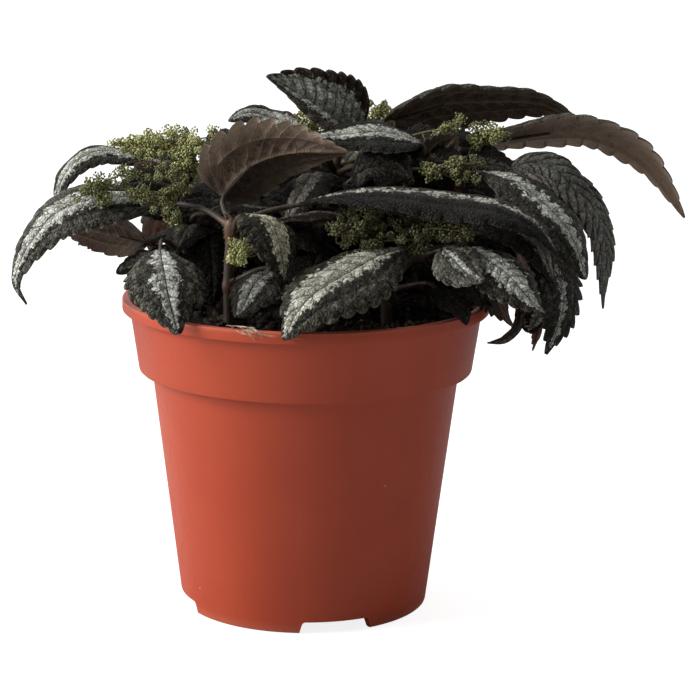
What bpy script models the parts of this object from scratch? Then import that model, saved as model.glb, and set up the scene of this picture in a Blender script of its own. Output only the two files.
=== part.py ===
# A potted friendship plant: toothed, silver-banded leaves on leafy stems, small green flower
# clusters, soil with its root ball, and a tapered plastic nursery pot.
# Metres, +Z up. The origin is on the pot's axis, on the surface that it stands on.
import math
import random

import bmesh
import bpy
import numpy as np
from mathutils import Vector
from mathutils.bvhtree import BVHTree

MM = 0.001
GAP = 0.3 * MM  # clearance between pieces that touch

# Pot, a 12 cm nursery pot
POT_HEIGHT = 102 * MM
LIP_RADIUS = 60 * MM
LIP_HEIGHT = 3.8 * MM
COLLAR_TOP_RADIUS = 57.5 * MM
COLLAR_FOOT_RADIUS = 54.6 * MM
COLLAR_FOOT_Z = 78.5 * MM
BODY_TOP_RADIUS = 50.4 * MM
FOOT_RADIUS = 40.7 * MM
WALL = 1.4 * MM
FOOT_LIFT = 3.5 * MM  # height of the raised floor's underside
CENTRE_PAD_RADIUS = 12 * MM
POT_SIDES = 32
DRAIN_HOLES = 6
DRAIN_HOLE_SIDES = 8
DRAIN_HOLE_RADIUS = 3.6 * MM
DRAIN_RING_RADIUS = 26 * MM
NOTCHES = 4
NOTCH_TURN = 16  # degrees from the front to the first notch's middle, towards +X
NOTCH_HALF_ANGLE = 16.5  # degrees

# Soil
SOIL_TOP = 96 * MM
SOIL_MOUND = 2 * MM
SOIL_LUMP = 0.9 * MM
SOIL_SIDES = 20
SOIL_RINGS = (0.9, 0.68, 0.45, 0.22)

# Stems, petioles and leaves
STEM_RADIUS = 1.8 * MM
STEM_TOP_RADIUS = 1.4 * MM
STEM_SIDES = 6
STEM_RINGS = 6  # above the height where it starts to bend
STEM_FOOT_Z = 70 * MM
STEM_STRAIGHT = (98 * MM, 104 * MM)  # a stem runs straight up to the second height
PETIOLE_RADIUS = 1.1 * MM
PETIOLE_TIP_RADIUS = 0.6 * MM
PETIOLE_SIDES = 4
PETIOLE_SINK = 0.3 * MM  # how far under the midrib's middle surface it ends
PETIOLE_JOIN = (0.02, 0.3)  # the part of the midrib that it runs under
BLADE = 0.8 * MM  # thickness of a leaf
TOOTH_DEPTH = 0.075  # of the half width
TOOTH_AT = 0.68  # where a tooth's point lies between two notches
INNER_ROW = 0.52  # of the half width
NARROW_LEAF = 25.5  # millimetres wide, under which a leaf has no inner row

# Flower clusters
STALK_RADIUS = 0.8 * MM
STALK_SIDES = 4
RING_CHECKS = 8  # points round a stalk, and places along it, that are tested for the gap
ROUTE_CHECKS = 200
STALK_IN_FLOWER = (0.35, 0.97)  # the part of a stalk that carries tufts
TUFT_OUT = 3.3 * MM  # from a tuft's middle to its florets' tips
TUFT_IN = 2.1 * MM  # and to the hollows between them
TUFT_UNEVEN = 0.2
TUFT_STEP = 3.6 * MM  # from a tuft's middle to that of the one it grows beside
STALK_STEP = 1.4 * MM  # and from the stalk's middle to a tuft on it
TUFT_APART = 3.4 * MM  # two tufts' middles are no nearer than this
TUFT_CLEAR = 0.4 * MM  # a tuft nearer than this to a leaf is left out
TUFT_TRIES = 900

# sRGB colours
TERRACOTTA = (0.62, 0.27, 0.19)
SOIL_BROWN = (0.12, 0.09, 0.07)
LEAF_GREEN = (0.21, 0.24, 0.22)
FLOWER_GREEN = (0.60, 0.63, 0.33)


def leaf(height, petiole, rib, face, width, teeth, lift=8, curl=-48, twist=0, widest=0.4,
         taper=1.05):
    """One leaf, in millimetres and degrees: the height on its stem that its petiole leaves,
    the petiole's bends, the midrib from base to tip, and the way its upper side faces at the base.
    lift is the slope of each half at the midrib, curl is how far it bends on the way to the margin,
    widest is where along its length it is widest, and taper is how finely it runs out to its tip."""
    return {
        "height": height, "petiole": petiole, "rib": rib, "face": face, "width": width,
        "teeth": teeth, "lift": lift, "curl": curl, "twist": twist, "widest": widest, "taper": taper,
    }


# Each stem: where it leaves the soil, its bends in millimetres, and its leaves
STEMS = {
    "stem_front_left": {
        "foot": (-24, -26),
        "bends": [(-24, -26, 116), (-23, -26, 131)],
        "leaves": {
            "far_left": leaf(
                129, [(-33, -17, 133)],
                [(-43, -8, 134), (-60, -13, 135.5), (-70, -17, 135), (-79.5, -21, 131.5),
                 (-85, -23, 125), (-89, -25, 118), (-91, -26, 110), (-87.5, -27, 103.5)],
                (0, -0.4, 0.92), 25, 8, curl=-44, widest=0.38, taper=1.6),
            "cupped_brown": leaf(
                130, [(-26, -21, 134)],
                [(-26.5, -18, 137), (-23, -16, 142.5), (-16, -14, 147.5), (-2, -12, 151),
                 (13, -12, 151)],
                (-0.2, 0.8, 0.45), 28, 8, lift=22, curl=-20, widest=0.24),
            "long_level": leaf(
                128, [(-14, -25, 133)],
                [(-4, -24, 136), (12, -27, 140), (30, -27, 141), (46, -28, 140), (60, -32, 138),
                 (71, -35, 132.5), (78, -38, 123.5)],
                (0, -0.15, 1), 27, 8, lift=4, curl=-56, widest=0.56),
            "drooping": leaf(
                126, [(-21, -30, 132)],
                [(-18.5, -32, 134), (-11, -39, 132.5), (-7, -45, 126), (-6.5, -47, 115.5)],
                (0.6, -0.35, 0.8), 21, 7),
            "under_drooping": leaf(
                110, [(-14, -29, 116)],
                [(-9.5, -34, 117), (-16, -41, 112), (-20, -48, 104)],
                (-0.3, -0.4, 0.85), 20, 6),
        },
    },
    "stem_left": {
        "foot": (-38, -4),
        "bends": [(-39, -3, 118), (-40, 2, 134)],
        "leaves": {
            "left_upper": leaf(
                132, [(-41, 6, 139)],
                [(-46.5, 8, 143.5), (-58.5, 8, 147), (-68.5, 6, 148), (-76.5, 2, 143),
                 (-80.5, -2, 136), (-82, -4, 130)],
                (0, -0.3, 0.95), 13, 7),
            "left_brown": leaf(
                113, [(-45, 1, 116)],
                [(-51.5, 3, 118.5), (-63, 4, 121), (-69.5, 3, 123), (-77, 2, 123.5),
                 (-83.5, 1, 122)],
                (0, 0.75, 0.6), 20, 7, curl=-30),
            "front_left_ovate": leaf(
                112, [(-42, -15, 120), (-45, -25, 124)],
                [(-45, -32, 122.5), (-43.5, -41, 118.5), (-41, -50, 111), (-38, -54, 100)],
                (0, -0.3, 1), 25, 8),
            "left_hanging": leaf(
                117, [(-35, 0, 122)],
                [(-33, -3, 123), (-31, -9, 120), (-30, -13, 111), (-30, -15, 101)],
                (0, -0.3, 1), 18, 5),
            "left_low_tip": leaf(
                108, [(-42, -9, 116)],
                [(-46.5, -13, 117.5), (-50, -15, 117), (-54.5, -17, 115.5), (-60, -19, 112)],
                (0, -0.5, 0.85), 12, 5),
        },
    },
    "stem_centre_front": {
        "foot": (26, -18),
        "bends": [(28, -20, 112), (33, -23, 120)],
        "leaves": {
            "front_silver": leaf(
                119, [(34, -25, 122)],
                [(32.5, -28, 123.5), (22, -39, 121.5), (9.5, -52, 117), (0.5, -60, 110.5),
                 (-5.5, -62.5, 100.5)],
                (-0.2, -0.5, 0.8), 31, 8, widest=0.5),
            "front_right_silver": leaf(
                118, [(42, -29, 124)],
                [(51.5, -34, 124.5), (59, -39, 120), (64.5, -43.5, 115.5), (69, -47, 111.5),
                 (74, -49, 107)],
                (0, -0.45, 0.9), 20, 7),
            "front_middle_silver": leaf(
                116, [(37, -30, 121)],
                [(42.5, -36, 124.5), (46, -40, 121.5), (50, -44.5, 118.5), (55, -48, 116)],
                (-0.2, -0.5, 0.85), 16, 6, curl=-30),
            "over_rim_dark": leaf(
                108, [(38, -23, 111)],
                [(41.5, -31, 111.5), (45.5, -36, 109.5), (49, -40, 106), (50.5, -42, 101.5)],
                (0.3, -0.3, 0.9), 13, 5),
        },
    },
    "stem_centre": {
        "foot": (4, 4),
        "bends": [(6, 7, 125), (10, 12, 150)],
        "leaves": {
            "crown_silver": leaf(
                149, [(16, 16, 151)],
                [(16, 16, 152.5), (9.5, 13, 157), (3, 10, 162), (-4.5, 7, 168), (-13.5, 4, 173)],
                (0.36, -0.77, 0.53), 31, 7, lift=40, curl=-12, widest=0.28),
            "crown_behind": leaf(
                146, [(6, 20, 151)],
                [(-1, 27, 153), (-10, 30, 156), (-19, 30, 158.5), (-27, 28, 155.5)],
                (-0.1, -0.5, 0.85), 13, 6),
            "inner_front": leaf(
                110, [(4, -3, 115)],
                [(4, -8, 117), (3, -16, 117), (1, -23, 112), (0, -27, 103)],
                (0, -0.3, 1), 20, 4),
            "inner_middle": leaf(
                117, [(2, 2, 124)],
                [(-1, -2, 126), (-8, -7, 128), (-14, -9, 125), (-17, -10, 117)],
                (0, -0.3, 0.95), 18, 4),
            "inner_right": leaf(
                118, [(12, 6, 122)],
                [(16, 4, 124), (28, 0, 128), (40, -4, 128), (50, -9, 121)],
                (0, -0.3, 0.95), 21, 5),
            "inner_left": leaf(
                114, [(-1, 6, 119)],
                [(-5, 5, 121), (-15, 4, 126), (-24, 4, 126), (-32, 5, 119)],
                (0, -0.3, 0.95), 21, 5),
            "inner_upper_left": leaf(
                126, [(6, 9, 134)],
                [(9.5, 8, 139), (3.5, 6, 142.5), (-4.5, 4, 143.5), (-13.5, 2, 141)],
                (0, -0.85, 0.5), 24, 5),
            "inner_upper_front": leaf(
                128, [(11, 7, 136)],
                [(14.5, 4, 140.5), (20.5, 0, 144.5), (27.5, -4, 145), (33.5, -8, 142.5)],
                (0, -0.85, 0.5), 22, 5),
            "inner_upper_right": leaf(
                130, [(18, 7, 137)],
                [(28.5, 4, 142.5), (36.5, 3, 145.5), (45, 2, 145), (52, 0, 141.5)],
                (0, -0.85, 0.5), 20, 5),
            "inner_brown": leaf(
                128, [(22, 12, 134)],
                [(31, 16, 139), (38.5, 20, 143), (45.5, 23, 148.5), (51.5, 24, 155)],
                (-0.2, 0.9, 0.4), 20, 5),
            "crown_flat": leaf(
                140, [(22, 8, 146), (34, 7, 150)],
                [(37, 5, 152), (27, 1, 155), (13.5, -4, 156), (-1, -9, 154.5)],
                (0, -0.45, 1), 20, 7, curl=-36),
        },
    },
    "stem_right": {
        "foot": (40, 6),
        "bends": [(44, 6, 120), (50, 8, 140)],
        "leaves": {
            "far_right_brown": leaf(
                139, [(50, 15, 146)],
                [(56, 22, 150), (77, 28, 153), (96.5, 30, 153), (113.5, 32, 143.5), (127, 32, 124)],
                (0.05, 0.5, 0.85), 26, 8, widest=0.33),
            "right_banded": leaf(
                136, [(52, 3, 142)],
                [(56, -1, 144), (67, -9, 142), (77, -15, 134), (85, -19, 124), (89.5, -21, 112.5)],
                (0.1, -0.3, 0.95), 25, 8, widest=0.5, taper=0.8),
            "right_behind": leaf(
                132, [(55, 11, 140)],
                [(62, 13, 143.5), (79.5, 12, 142), (91.5, 9, 133), (97.5, 6, 118), (98, 4, 98.5)],
                (0.3, -0.2, 0.9), 28, 9),
            "right_inner": leaf(
                124, [(52, 0, 128)],
                [(56, -2, 129), (66, -7, 128), (75, -13, 121), (80, -17, 110)],
                (0.1, -0.2, 0.95), 21, 5),
            "right_low_silver": leaf(
                118, [(60, -1, 120)],
                [(72, -5, 120), (78, -10, 115.5), (81.5, -13, 109), (82.5, -15, 102), (81, -17, 95),
                 (77.5, -18, 87.5)],
                (0.4, -0.4, 0.8), 22, 8),
            "right_low_brown": leaf(
                112, [(60, 5, 111)],
                [(67, 4, 109), (73, 2, 102), (75.5, -3, 94.5), (74, -7, 86.5)],
                (0.4, 0.5, 0.7), 20, 7),
            "right_low_dark": leaf(
                114, [(48, -10, 116)],
                [(54, -18, 115.5), (58, -23, 110), (62, -25, 105), (66, -26, 98.5)],
                (0.3, 0.6, 0.6), 20, 6),
            "right_over_rim": leaf(
                112, [(48, -12, 118)],
                [(52, -20, 119.5), (53.5, -24, 114.5), (55, -27, 109.5), (56, -28, 104.5)],
                (0.2, -0.85, 0.45), 17, 6),
            "right_thin_curl": leaf(
                110, [(54, -6, 111)],
                [(64, -10, 109), (69.5, -13, 102), (69, -16, 96), (64.5, -17, 92),
                 (58.5, -17, 90.5)],
                (0.7, -0.2, 0.7), 7, 4),
        },
    },
    "stem_back_right": {
        "foot": (24, 26),
        "bends": [(26, 30, 125), (28, 33, 146)],
        "leaves": {
            "arched_brown": leaf(
                143, [(23, 34, 148)],
                [(24.5, 33, 154.5), (40.5, 36, 160.5), (59, 40, 162.5), (77.5, 45, 161),
                 (93, 48, 154)],
                (0, 0.65, 0.7), 23, 8, widest=0.3),
            "back_right": leaf(
                138, [(32, 41, 142)],
                [(37, 48, 143), (50, 62, 142), (62, 74, 132), (68, 82, 116)],
                (0, 0.1, 1), 26, 5),
            "back_right_middle": leaf(
                129, [(37, 30, 134)],
                [(45, 31, 136), (60, 36, 135), (74, 44, 127), (82, 50, 112)],
                (0.1, 0, 1), 21, 5),
            "inner_far_right": leaf(
                120, [(30, 24, 124)],
                [(33, 21, 126), (43, 18, 131), (53, 18, 132), (62, 19, 127)],
                (0, -0.3, 0.95), 20, 4),
            "behind_crown": leaf(
                128, [(20, 28, 132)],
                [(16, 26, 134), (5, 23, 140), (-6, 21, 142), (-16, 19, 137)],
                (0, -0.4, 0.9), 21, 4),
            "back_right_low": leaf(
                118, [(40, 33, 121)],
                [(50, 38, 121), (64, 45, 117), (75, 51, 105), (78, 53, 92)],
                (0.1, 0, 1), 21, 5),
        },
    },
    "stem_back": {
        "foot": (0, 34),
        "bends": [(0, 37, 118), (0, 40, 134)],
        "leaves": {
            "back_long": leaf(
                132, [(4, 46, 137)],
                [(8, 52, 139), (14, 66, 140), (20, 80, 130), (22, 88, 113)],
                (0, 0.1, 1), 25, 5),
            "back_top": leaf(
                133, [(-3, 44, 140)],
                [(-8, 50, 143), (-18, 60, 145), (-28, 69, 138), (-33, 74, 126)],
                (0, 0.1, 1), 25, 5),
            "back_middle_right": leaf(
                123, [(11, 38, 128)],
                [(17, 42, 130), (30, 52, 131), (40, 62, 124), (45, 67, 111)],
                (0, 0.1, 1), 21, 5),
            "back_middle_left": leaf(
                121, [(-7, 43, 126)],
                [(-12, 47, 127), (-20, 58, 126), (-27, 67, 117), (-30, 71, 103)],
                (0, 0.1, 1), 21, 5),
            "back_low": leaf(
                112, [(-2, 46, 115)],
                [(-4, 54, 115), (-6, 66, 112), (-8, 73, 101), (-8, 74, 88)],
                (0, 0, 1), 20, 4),
        },
    },
    "stem_back_left": {
        "foot": (-28, 24),
        "bends": [(-30, 26, 116), (-32, 26, 130)],
        "leaves": {
            "back_left": leaf(
                128, [(-38, 28, 133)],
                [(-45, 31, 134), (-60, 37, 134), (-74, 43, 125), (-80, 46, 110)],
                (0, 0, 1), 25, 5),
            "back_left_rear": leaf(
                124, [(-35, 36, 127)],
                [(-38, 43, 128), (-46, 56, 127), (-54, 67, 117), (-57, 71, 103)],
                (0, 0, 1), 21, 4),
            "back_left_low": leaf(
                108, [(-36, 32, 110)],
                [(-41, 37, 110), (-50, 46, 109), (-57, 53, 101), (-58, 54, 90)],
                (0, 0, 1), 20, 5),
            "inner_back_left": leaf(
                121, [(-27, 24, 125)],
                [(-24, 24, 126), (-16, 26, 130), (-6, 27, 130), (1, 27, 125)],
                (0, 0.1, 1), 19, 4),
            "left_rising": leaf(
                127, [(-32, 21, 134)],
                [(-31, 19, 137), (-29, 15, 144), (-26, 12, 150), (-23, 10, 156)],
                (-0.2, -0.8, 0.3), 18, 4),
            "left_inner": leaf(
                118, [(-36, 20, 123)],
                [(-40, 18, 125), (-49, 15, 130), (-58, 14, 132), (-68, 14, 128)],
                (0, -0.3, 0.95), 20, 4),
        },
    },
}

# Each flower cluster: its stem and the height it leaves it, its stalk's route, how much its tufts
# spread along X, Y and Z, and how many there are at most
CLUSTERS = {
    "flowers_left_upper": ("stem_left", 133, [(-39, -7, 145), (-42, -6, 151), (-56, -5, 152)],
                           (2, 1, 1), 8),
    "flowers_left_lower": ("stem_left", 124, [(-43, -15, 131), (-50, -18, 138), (-67, -18, 139)],
                           (2, 1, 1), 7),
    "flowers_front_small": ("stem_front_left", 118, [(-21, -32, 121), (-18, -36, 123)],
                            (1, 1, 2), 2),
    "flowers_centre_front": ("stem_centre_front", 114, [(22, -28, 126), (10, -32, 129)],
                             (2, 1, 1), 4),
    "flowers_centre_right": ("stem_centre_front", 117, [(37, -31, 129), (48, -36, 130)],
                             (2, 1, 1), 6),
    "flowers_crown_right": ("stem_centre", 143, [(24, 13, 149), (36, 12, 154), (47, 13, 156)],
                            (2, 1, 1), 5),
    "flowers_crown_top": ("stem_centre", 148, [(18, 20, 157), (26, 24, 160)],
                          (1, 1, 1), 2),
    "flowers_right_middle": ("stem_centre", 134, [(26, 0, 143), (42, -4, 145), (56, -4, 147)],
                             (2, 1, 1), 4),
    "flowers_right_small": ("stem_right", 138, [(54, 14, 150), (60, 14, 154)],
                            (2, 1, 1), 3),
    "flowers_crown_left": ("stem_centre", 146, [(0, 20, 155), (-5, 22, 159)],
                           (1, 1, 1), 2),
    "flowers_back": ("stem_back", 130, [(8, 44, 142), (18, 50, 146)],
                     (2, 1, 1), 4),
    "flowers_back_left": ("stem_back_left", 127, [(-26, 34, 136), (-22, 42, 140)],
                          (1, 2, 1), 3),
}


def clear_scene():
    for old in list(bpy.data.objects):
        bpy.data.objects.remove(old)


def material(name, colour, roughness):
    made = bpy.data.materials.new(name)
    made.use_nodes = True
    shader = made.node_tree.nodes["Principled BSDF"]
    linear = [c / 12.92 if c <= 0.04045 else ((c + 0.055) / 1.055) ** 2.4 for c in colour]
    shader.inputs["Base Color"].default_value = (*linear, 1)
    shader.inputs["Roughness"].default_value = roughness
    shader.inputs["Metallic"].default_value = 0
    return made


def mesh_object(name, points, faces, finish=None):
    mesh = bpy.data.meshes.new(name)
    mesh.from_pydata([tuple(float(c) for c in p) for p in points], [], faces)
    mesh.validate()
    body = bmesh.new()
    body.from_mesh(mesh)
    bmesh.ops.recalc_face_normals(body, faces=body.faces)
    body.to_mesh(mesh)
    body.free()
    made = bpy.data.objects.new(name, mesh)
    bpy.context.scene.collection.objects.link(made)
    if finish:
        mesh.materials.append(finish)
    return made


def shade_round(made, angle=35):
    made.data.shade_smooth()
    made.data.set_sharp_from_angle(angle=math.radians(angle))


def boolean(target, cutter, operation):
    """Cuts or joins, applied at once, and removes the other object or collection of objects."""
    step = target.modifiers.new(operation.lower(), "BOOLEAN")
    step.operation = operation
    step.solver = "EXACT"
    if isinstance(cutter, bpy.types.Collection):
        step.operand_type = "COLLECTION"
        step.collection = cutter
        others = list(cutter.objects)
    else:
        step.object = cutter
        others = [cutter]
    with bpy.context.temp_override(object=target, active_object=target):
        bpy.ops.object.modifier_apply(modifier=step.name)
    for other in others:
        bpy.data.objects.remove(other)
    if isinstance(cutter, bpy.types.Collection):
        bpy.data.collections.remove(cutter)


def join_as(name, shapes, finish):
    """One body from overlapping shapes, each a pair of points and faces."""
    first = mesh_object(name, *shapes[0], finish)
    rest = bpy.data.collections.new(name + "_rest")
    bpy.context.scene.collection.children.link(rest)
    for index, shape in enumerate(shapes[1:]):
        piece = mesh_object(f"{name}_{index}", *shape, finish)
        bpy.context.scene.collection.objects.unlink(piece)
        rest.objects.link(piece)
    boolean(first, rest, "UNION")
    keep_outer_body(first)
    shade_round(first)
    return first


def keep_outer_body(made):
    """Fills any hollow that the join sealed, by removing every shell but the one with the most faces."""
    body = bmesh.new()
    body.from_mesh(made.data)
    unseen, shells = set(body.faces), []
    while unseen:
        shell, front = [], [unseen.pop()]
        while front:
            face = front.pop()
            shell.append(face)
            for near in (other for edge in face.edges for other in edge.link_faces):
                if near in unseen:
                    unseen.remove(near)
                    front.append(near)
        shells.append(shell)
    largest = max(shells, key=len)
    extra = [face for shell in shells if shell is not largest for face in shell]
    bmesh.ops.delete(body, geom=extra, context="FACES")
    body.to_mesh(made.data)
    body.free()


def revolve(profile, sides, turn=0.0):
    """A closed solid turned from (radius, height) points that start and end on the axis."""
    points = [(0, 0, profile[0][1])]
    for radius, z in profile[1:-1]:
        for step in range(sides):
            angle = turn + 2 * math.pi * step / sides
            points.append((radius * math.cos(angle), radius * math.sin(angle), z))
    points.append((0, 0, profile[-1][1]))
    rings = len(profile) - 2
    faces = []
    for step in range(sides):
        after = (step + 1) % sides
        faces.append((0, 1 + after, 1 + step))
        for ring in range(rings - 1):
            low, high = 1 + ring * sides, 1 + (ring + 1) * sides
            faces.append((low + step, low + after, high + after, high + step))
        last = 1 + (rings - 1) * sides
        faces.append((last + step, last + after, len(points) - 1))
    return points, faces


def pot_outline():
    """(radius, height) from the axis under the floor, round the outside, to the axis above it."""
    floor_top = FOOT_LIFT + WALL
    pad_slope = 1.5 * MM
    step_fall = 0.8 * MM
    lip_foot = POT_HEIGHT - LIP_HEIGHT
    round_off = 0.7 * MM
    under = [
        (0, 0),
        (CENTRE_PAD_RADIUS, 0),
        (CENTRE_PAD_RADIUS + pad_slope, FOOT_LIFT),
        (FOOT_RADIUS - 3.0 * MM, FOOT_LIFT),
        (FOOT_RADIUS - 2.2 * MM, 0),
    ]
    outside = [
        (FOOT_RADIUS - round_off, 0),
        (FOOT_RADIUS, round_off),
        (BODY_TOP_RADIUS, COLLAR_FOOT_Z - step_fall),
        (BODY_TOP_RADIUS + 0.5 * MM, COLLAR_FOOT_Z - 0.1 * MM),
        (COLLAR_FOOT_RADIUS - round_off, COLLAR_FOOT_Z),
        (COLLAR_FOOT_RADIUS, COLLAR_FOOT_Z + 1.1 * MM),
        (COLLAR_TOP_RADIUS, lip_foot - 0.2 * MM),
        (LIP_RADIUS - round_off, lip_foot),
        (LIP_RADIUS, lip_foot + round_off),
        (LIP_RADIUS, POT_HEIGHT - round_off),
        (LIP_RADIUS - round_off, POT_HEIGHT),
    ]
    inside = [
        (COLLAR_TOP_RADIUS, POT_HEIGHT),
        (COLLAR_TOP_RADIUS - round_off, POT_HEIGHT - round_off),
        (COLLAR_FOOT_RADIUS - WALL, COLLAR_FOOT_Z + WALL + 0.4 * MM),
        (BODY_TOP_RADIUS - WALL + 0.2 * MM, COLLAR_FOOT_Z + WALL - 0.2 * MM),
        (FOOT_RADIUS - WALL + 0.2 * MM, floor_top),
        (CENTRE_PAD_RADIUS + pad_slope - 0.9 * MM, floor_top),
        (CENTRE_PAD_RADIUS - 0.9 * MM, WALL),
        (0, WALL),
    ]
    return under + outside + inside


def notch_cutter(index):
    """A block that opens the foot ring, following its curve, with ends that slope inwards."""
    middle = math.radians(NOTCH_TURN - 90 + 360 / NOTCHES * index)
    pieces = 6
    points = []
    for z, narrow in ((-2 * MM, 1.08), (FOOT_LIFT + 0.3 * MM, 0.92)):
        for radius in (FOOT_RADIUS - 3.6 * MM, FOOT_RADIUS + 4 * MM):
            for step in range(pieces + 1):
                angle = middle + math.radians(NOTCH_HALF_ANGLE * narrow * (2 * step / pieces - 1))
                points.append((radius * math.cos(angle), radius * math.sin(angle), z))
    row = pieces + 1
    low_in, low_out, high_in, high_out = 0, row, 2 * row, 3 * row
    faces = [(low_in, low_out, high_out, high_in)]
    for step in range(pieces):
        faces.append((low_in + step, low_in + step + 1, low_out + step + 1, low_out + step))
        faces.append((high_in + step, high_out + step, high_out + step + 1, high_in + step + 1))
        faces.append((low_in + step, high_in + step, high_in + step + 1, low_in + step + 1))
        faces.append((low_out + step, low_out + step + 1, high_out + step + 1, high_out + step))
    faces.append((low_in + pieces, high_in + pieces, high_out + pieces, low_out + pieces))
    return mesh_object(f"notch_{index}", points, faces)


def drain_cutter(index):
    angle = 2 * math.pi * (index + 0.5) / DRAIN_HOLES
    profile = [(0, 2 * MM), (DRAIN_HOLE_RADIUS, 2 * MM), (DRAIN_HOLE_RADIUS, 8 * MM), (0, 8 * MM)]
    points, faces = revolve(profile, DRAIN_HOLE_SIDES)
    shift = (DRAIN_RING_RADIUS * math.cos(angle), DRAIN_RING_RADIUS * math.sin(angle), 0)
    return mesh_object(f"drain_{index}", np.array(points) + shift, faces)


def make_pot(finish):
    pot = mesh_object("pot", *revolve(pot_outline(), POT_SIDES), finish)
    for index in range(NOTCHES):
        boolean(pot, notch_cutter(index), "DIFFERENCE")
    for index in range(DRAIN_HOLES):
        boolean(pot, drain_cutter(index), "DIFFERENCE")
    shade_round(pot, 30)
    return pot


def soil_outline():
    """The pot's inside less the gap, then up to the soil's edge; its top is added in rings."""
    inside = pot_outline()[-6:]
    collar, step, floor, pad_high, pad_low, _ = inside
    slope = (COLLAR_TOP_RADIUS - collar[0]) / (POT_HEIGHT - collar[1])
    edge = collar[0] + slope * (SOIL_TOP - collar[1]) - 2.5 * GAP
    return [
        (0, WALL + GAP),
        (pad_low[0] - 1.5 * GAP, WALL + GAP),
        (pad_high[0] - 1.5 * GAP, floor[1] + GAP),
        (floor[0] - 1.2 * GAP, floor[1] + GAP),
        (step[0] - 1.2 * GAP, step[1] + GAP),
        (collar[0] - 1.6 * GAP, collar[1] + 1.2 * GAP),
        (edge, SOIL_TOP),
    ]


def make_soil(finish):
    draw = random.Random(7)
    outline = soil_outline()
    edge = outline[-1][0]
    top = [(edge * part, SOIL_TOP) for part in SOIL_RINGS]
    points, faces = revolve(outline + top + [(0, SOIL_TOP)], SOIL_SIDES)
    raised = []
    for x, y, z in points:
        inward = 1 - min(1, math.hypot(x, y) / edge)
        if z == SOIL_TOP and inward > 0.02:
            z += SOIL_MOUND * math.sin(inward * math.pi / 2) + draw.uniform(-1, 1) * SOIL_LUMP
        raised.append((x, y, z))
    soil = mesh_object("soil", raised, faces, finish)
    triangulate(soil)
    for name, stem in STEMS.items():
        x, y = (c * MM for c in stem["foot"])
        low = STEM_FOOT_Z - GAP
        hole = STEM_RADIUS + 1.4 * GAP
        profile = [(0, low), (hole, low), (hole, POT_HEIGHT), (0, POT_HEIGHT)]
        shape, sides = revolve(profile, STEM_SIDES)
        boolean(soil, mesh_object(name + "_hole", np.array(shape) + (x, y, 0), sides), "DIFFERENCE")
    shade_round(soil, 60)
    return soil


def triangulate(made):
    body = bmesh.new()
    body.from_mesh(made.data)
    bmesh.ops.triangulate(body, faces=body.faces)
    body.to_mesh(made.data)
    body.free()


def smooth_curve(points, steps=14):
    """Points close together along a smooth curve through the given ones."""
    given = np.array(points, float)
    ends = np.vstack([2 * given[0] - given[1], given, 2 * given[-1] - given[-2]])
    found = []
    for i in range(1, len(ends) - 2):
        before, start, end, after = ends[i - 1:i + 3]
        for t in np.arange(steps) / steps:
            found.append(0.5 * (
                2 * start + (end - before) * t
                + (2 * before - 5 * start + 4 * end - after) * t ** 2
                + (3 * start - before - 3 * end + after) * t ** 3
            ))
    return np.vstack([found, given[-1:]])


def along(curve, parts):
    """Points at these parts, 0 to 1, of the curve's length."""
    lengths = np.concatenate([[0], np.cumsum(np.linalg.norm(np.diff(curve, axis=0), axis=1))])
    at = np.array(parts) * lengths[-1]
    return np.stack([np.interp(at, lengths, curve[:, axis]) for axis in range(3)], axis=1)


def unit(vectors):
    return vectors / np.linalg.norm(vectors, axis=-1, keepdims=True)


def carried_frame(curve, face, twist=0.0):
    """Tangents, and normals that start towards face and turn no more than the curve does."""
    tangents = unit(np.gradient(curve, axis=0))
    normal = np.array(face, float)
    normals = []
    for tangent in tangents:
        normal = normal - tangent * normal.dot(tangent)
        normal = normal / np.linalg.norm(normal)
        normals.append(normal)
    normals = np.array(normals)
    sides = np.cross(tangents, normals)
    turn = np.radians(twist) * np.linspace(0, 1, len(curve))[:, None]
    return tangents, normals * np.cos(turn) + sides * np.sin(turn)


def tube(route, radii, sides):
    """A closed tube along the route, with a flat cap at each end."""
    route = np.array(route, float)
    upright = abs(route[-1][2] - route[0][2]) > 0.5 * np.ptp(route, 0).sum()
    tangents, normals = carried_frame(route, (0, 1, 0) if upright else (0, 0, 1))
    across = np.cross(tangents, normals)
    points = []
    for place, normal, side, radius in zip(route, normals, across, radii):
        for step in range(sides):
            angle = 2 * math.pi * step / sides
            points.append(place + radius * (math.cos(angle) * normal + math.sin(angle) * side))
    faces = [tuple(range(sides)), tuple(range(len(points) - sides, len(points)))]
    for ring in range(len(route) - 1):
        for step in range(sides):
            after = (step + 1) % sides
            low, high = ring * sides, (ring + 1) * sides
            faces.append((low + step, low + after, high + after, high + step))
    return points, faces


def half_width(part, widest, taper):
    """The leaf's outline without teeth, as a share of its greatest half width."""
    root_round = taper * widest / (1 - widest)
    return (part / widest) ** root_round * ((1 - part) / (1 - widest)) ** taper


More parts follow.
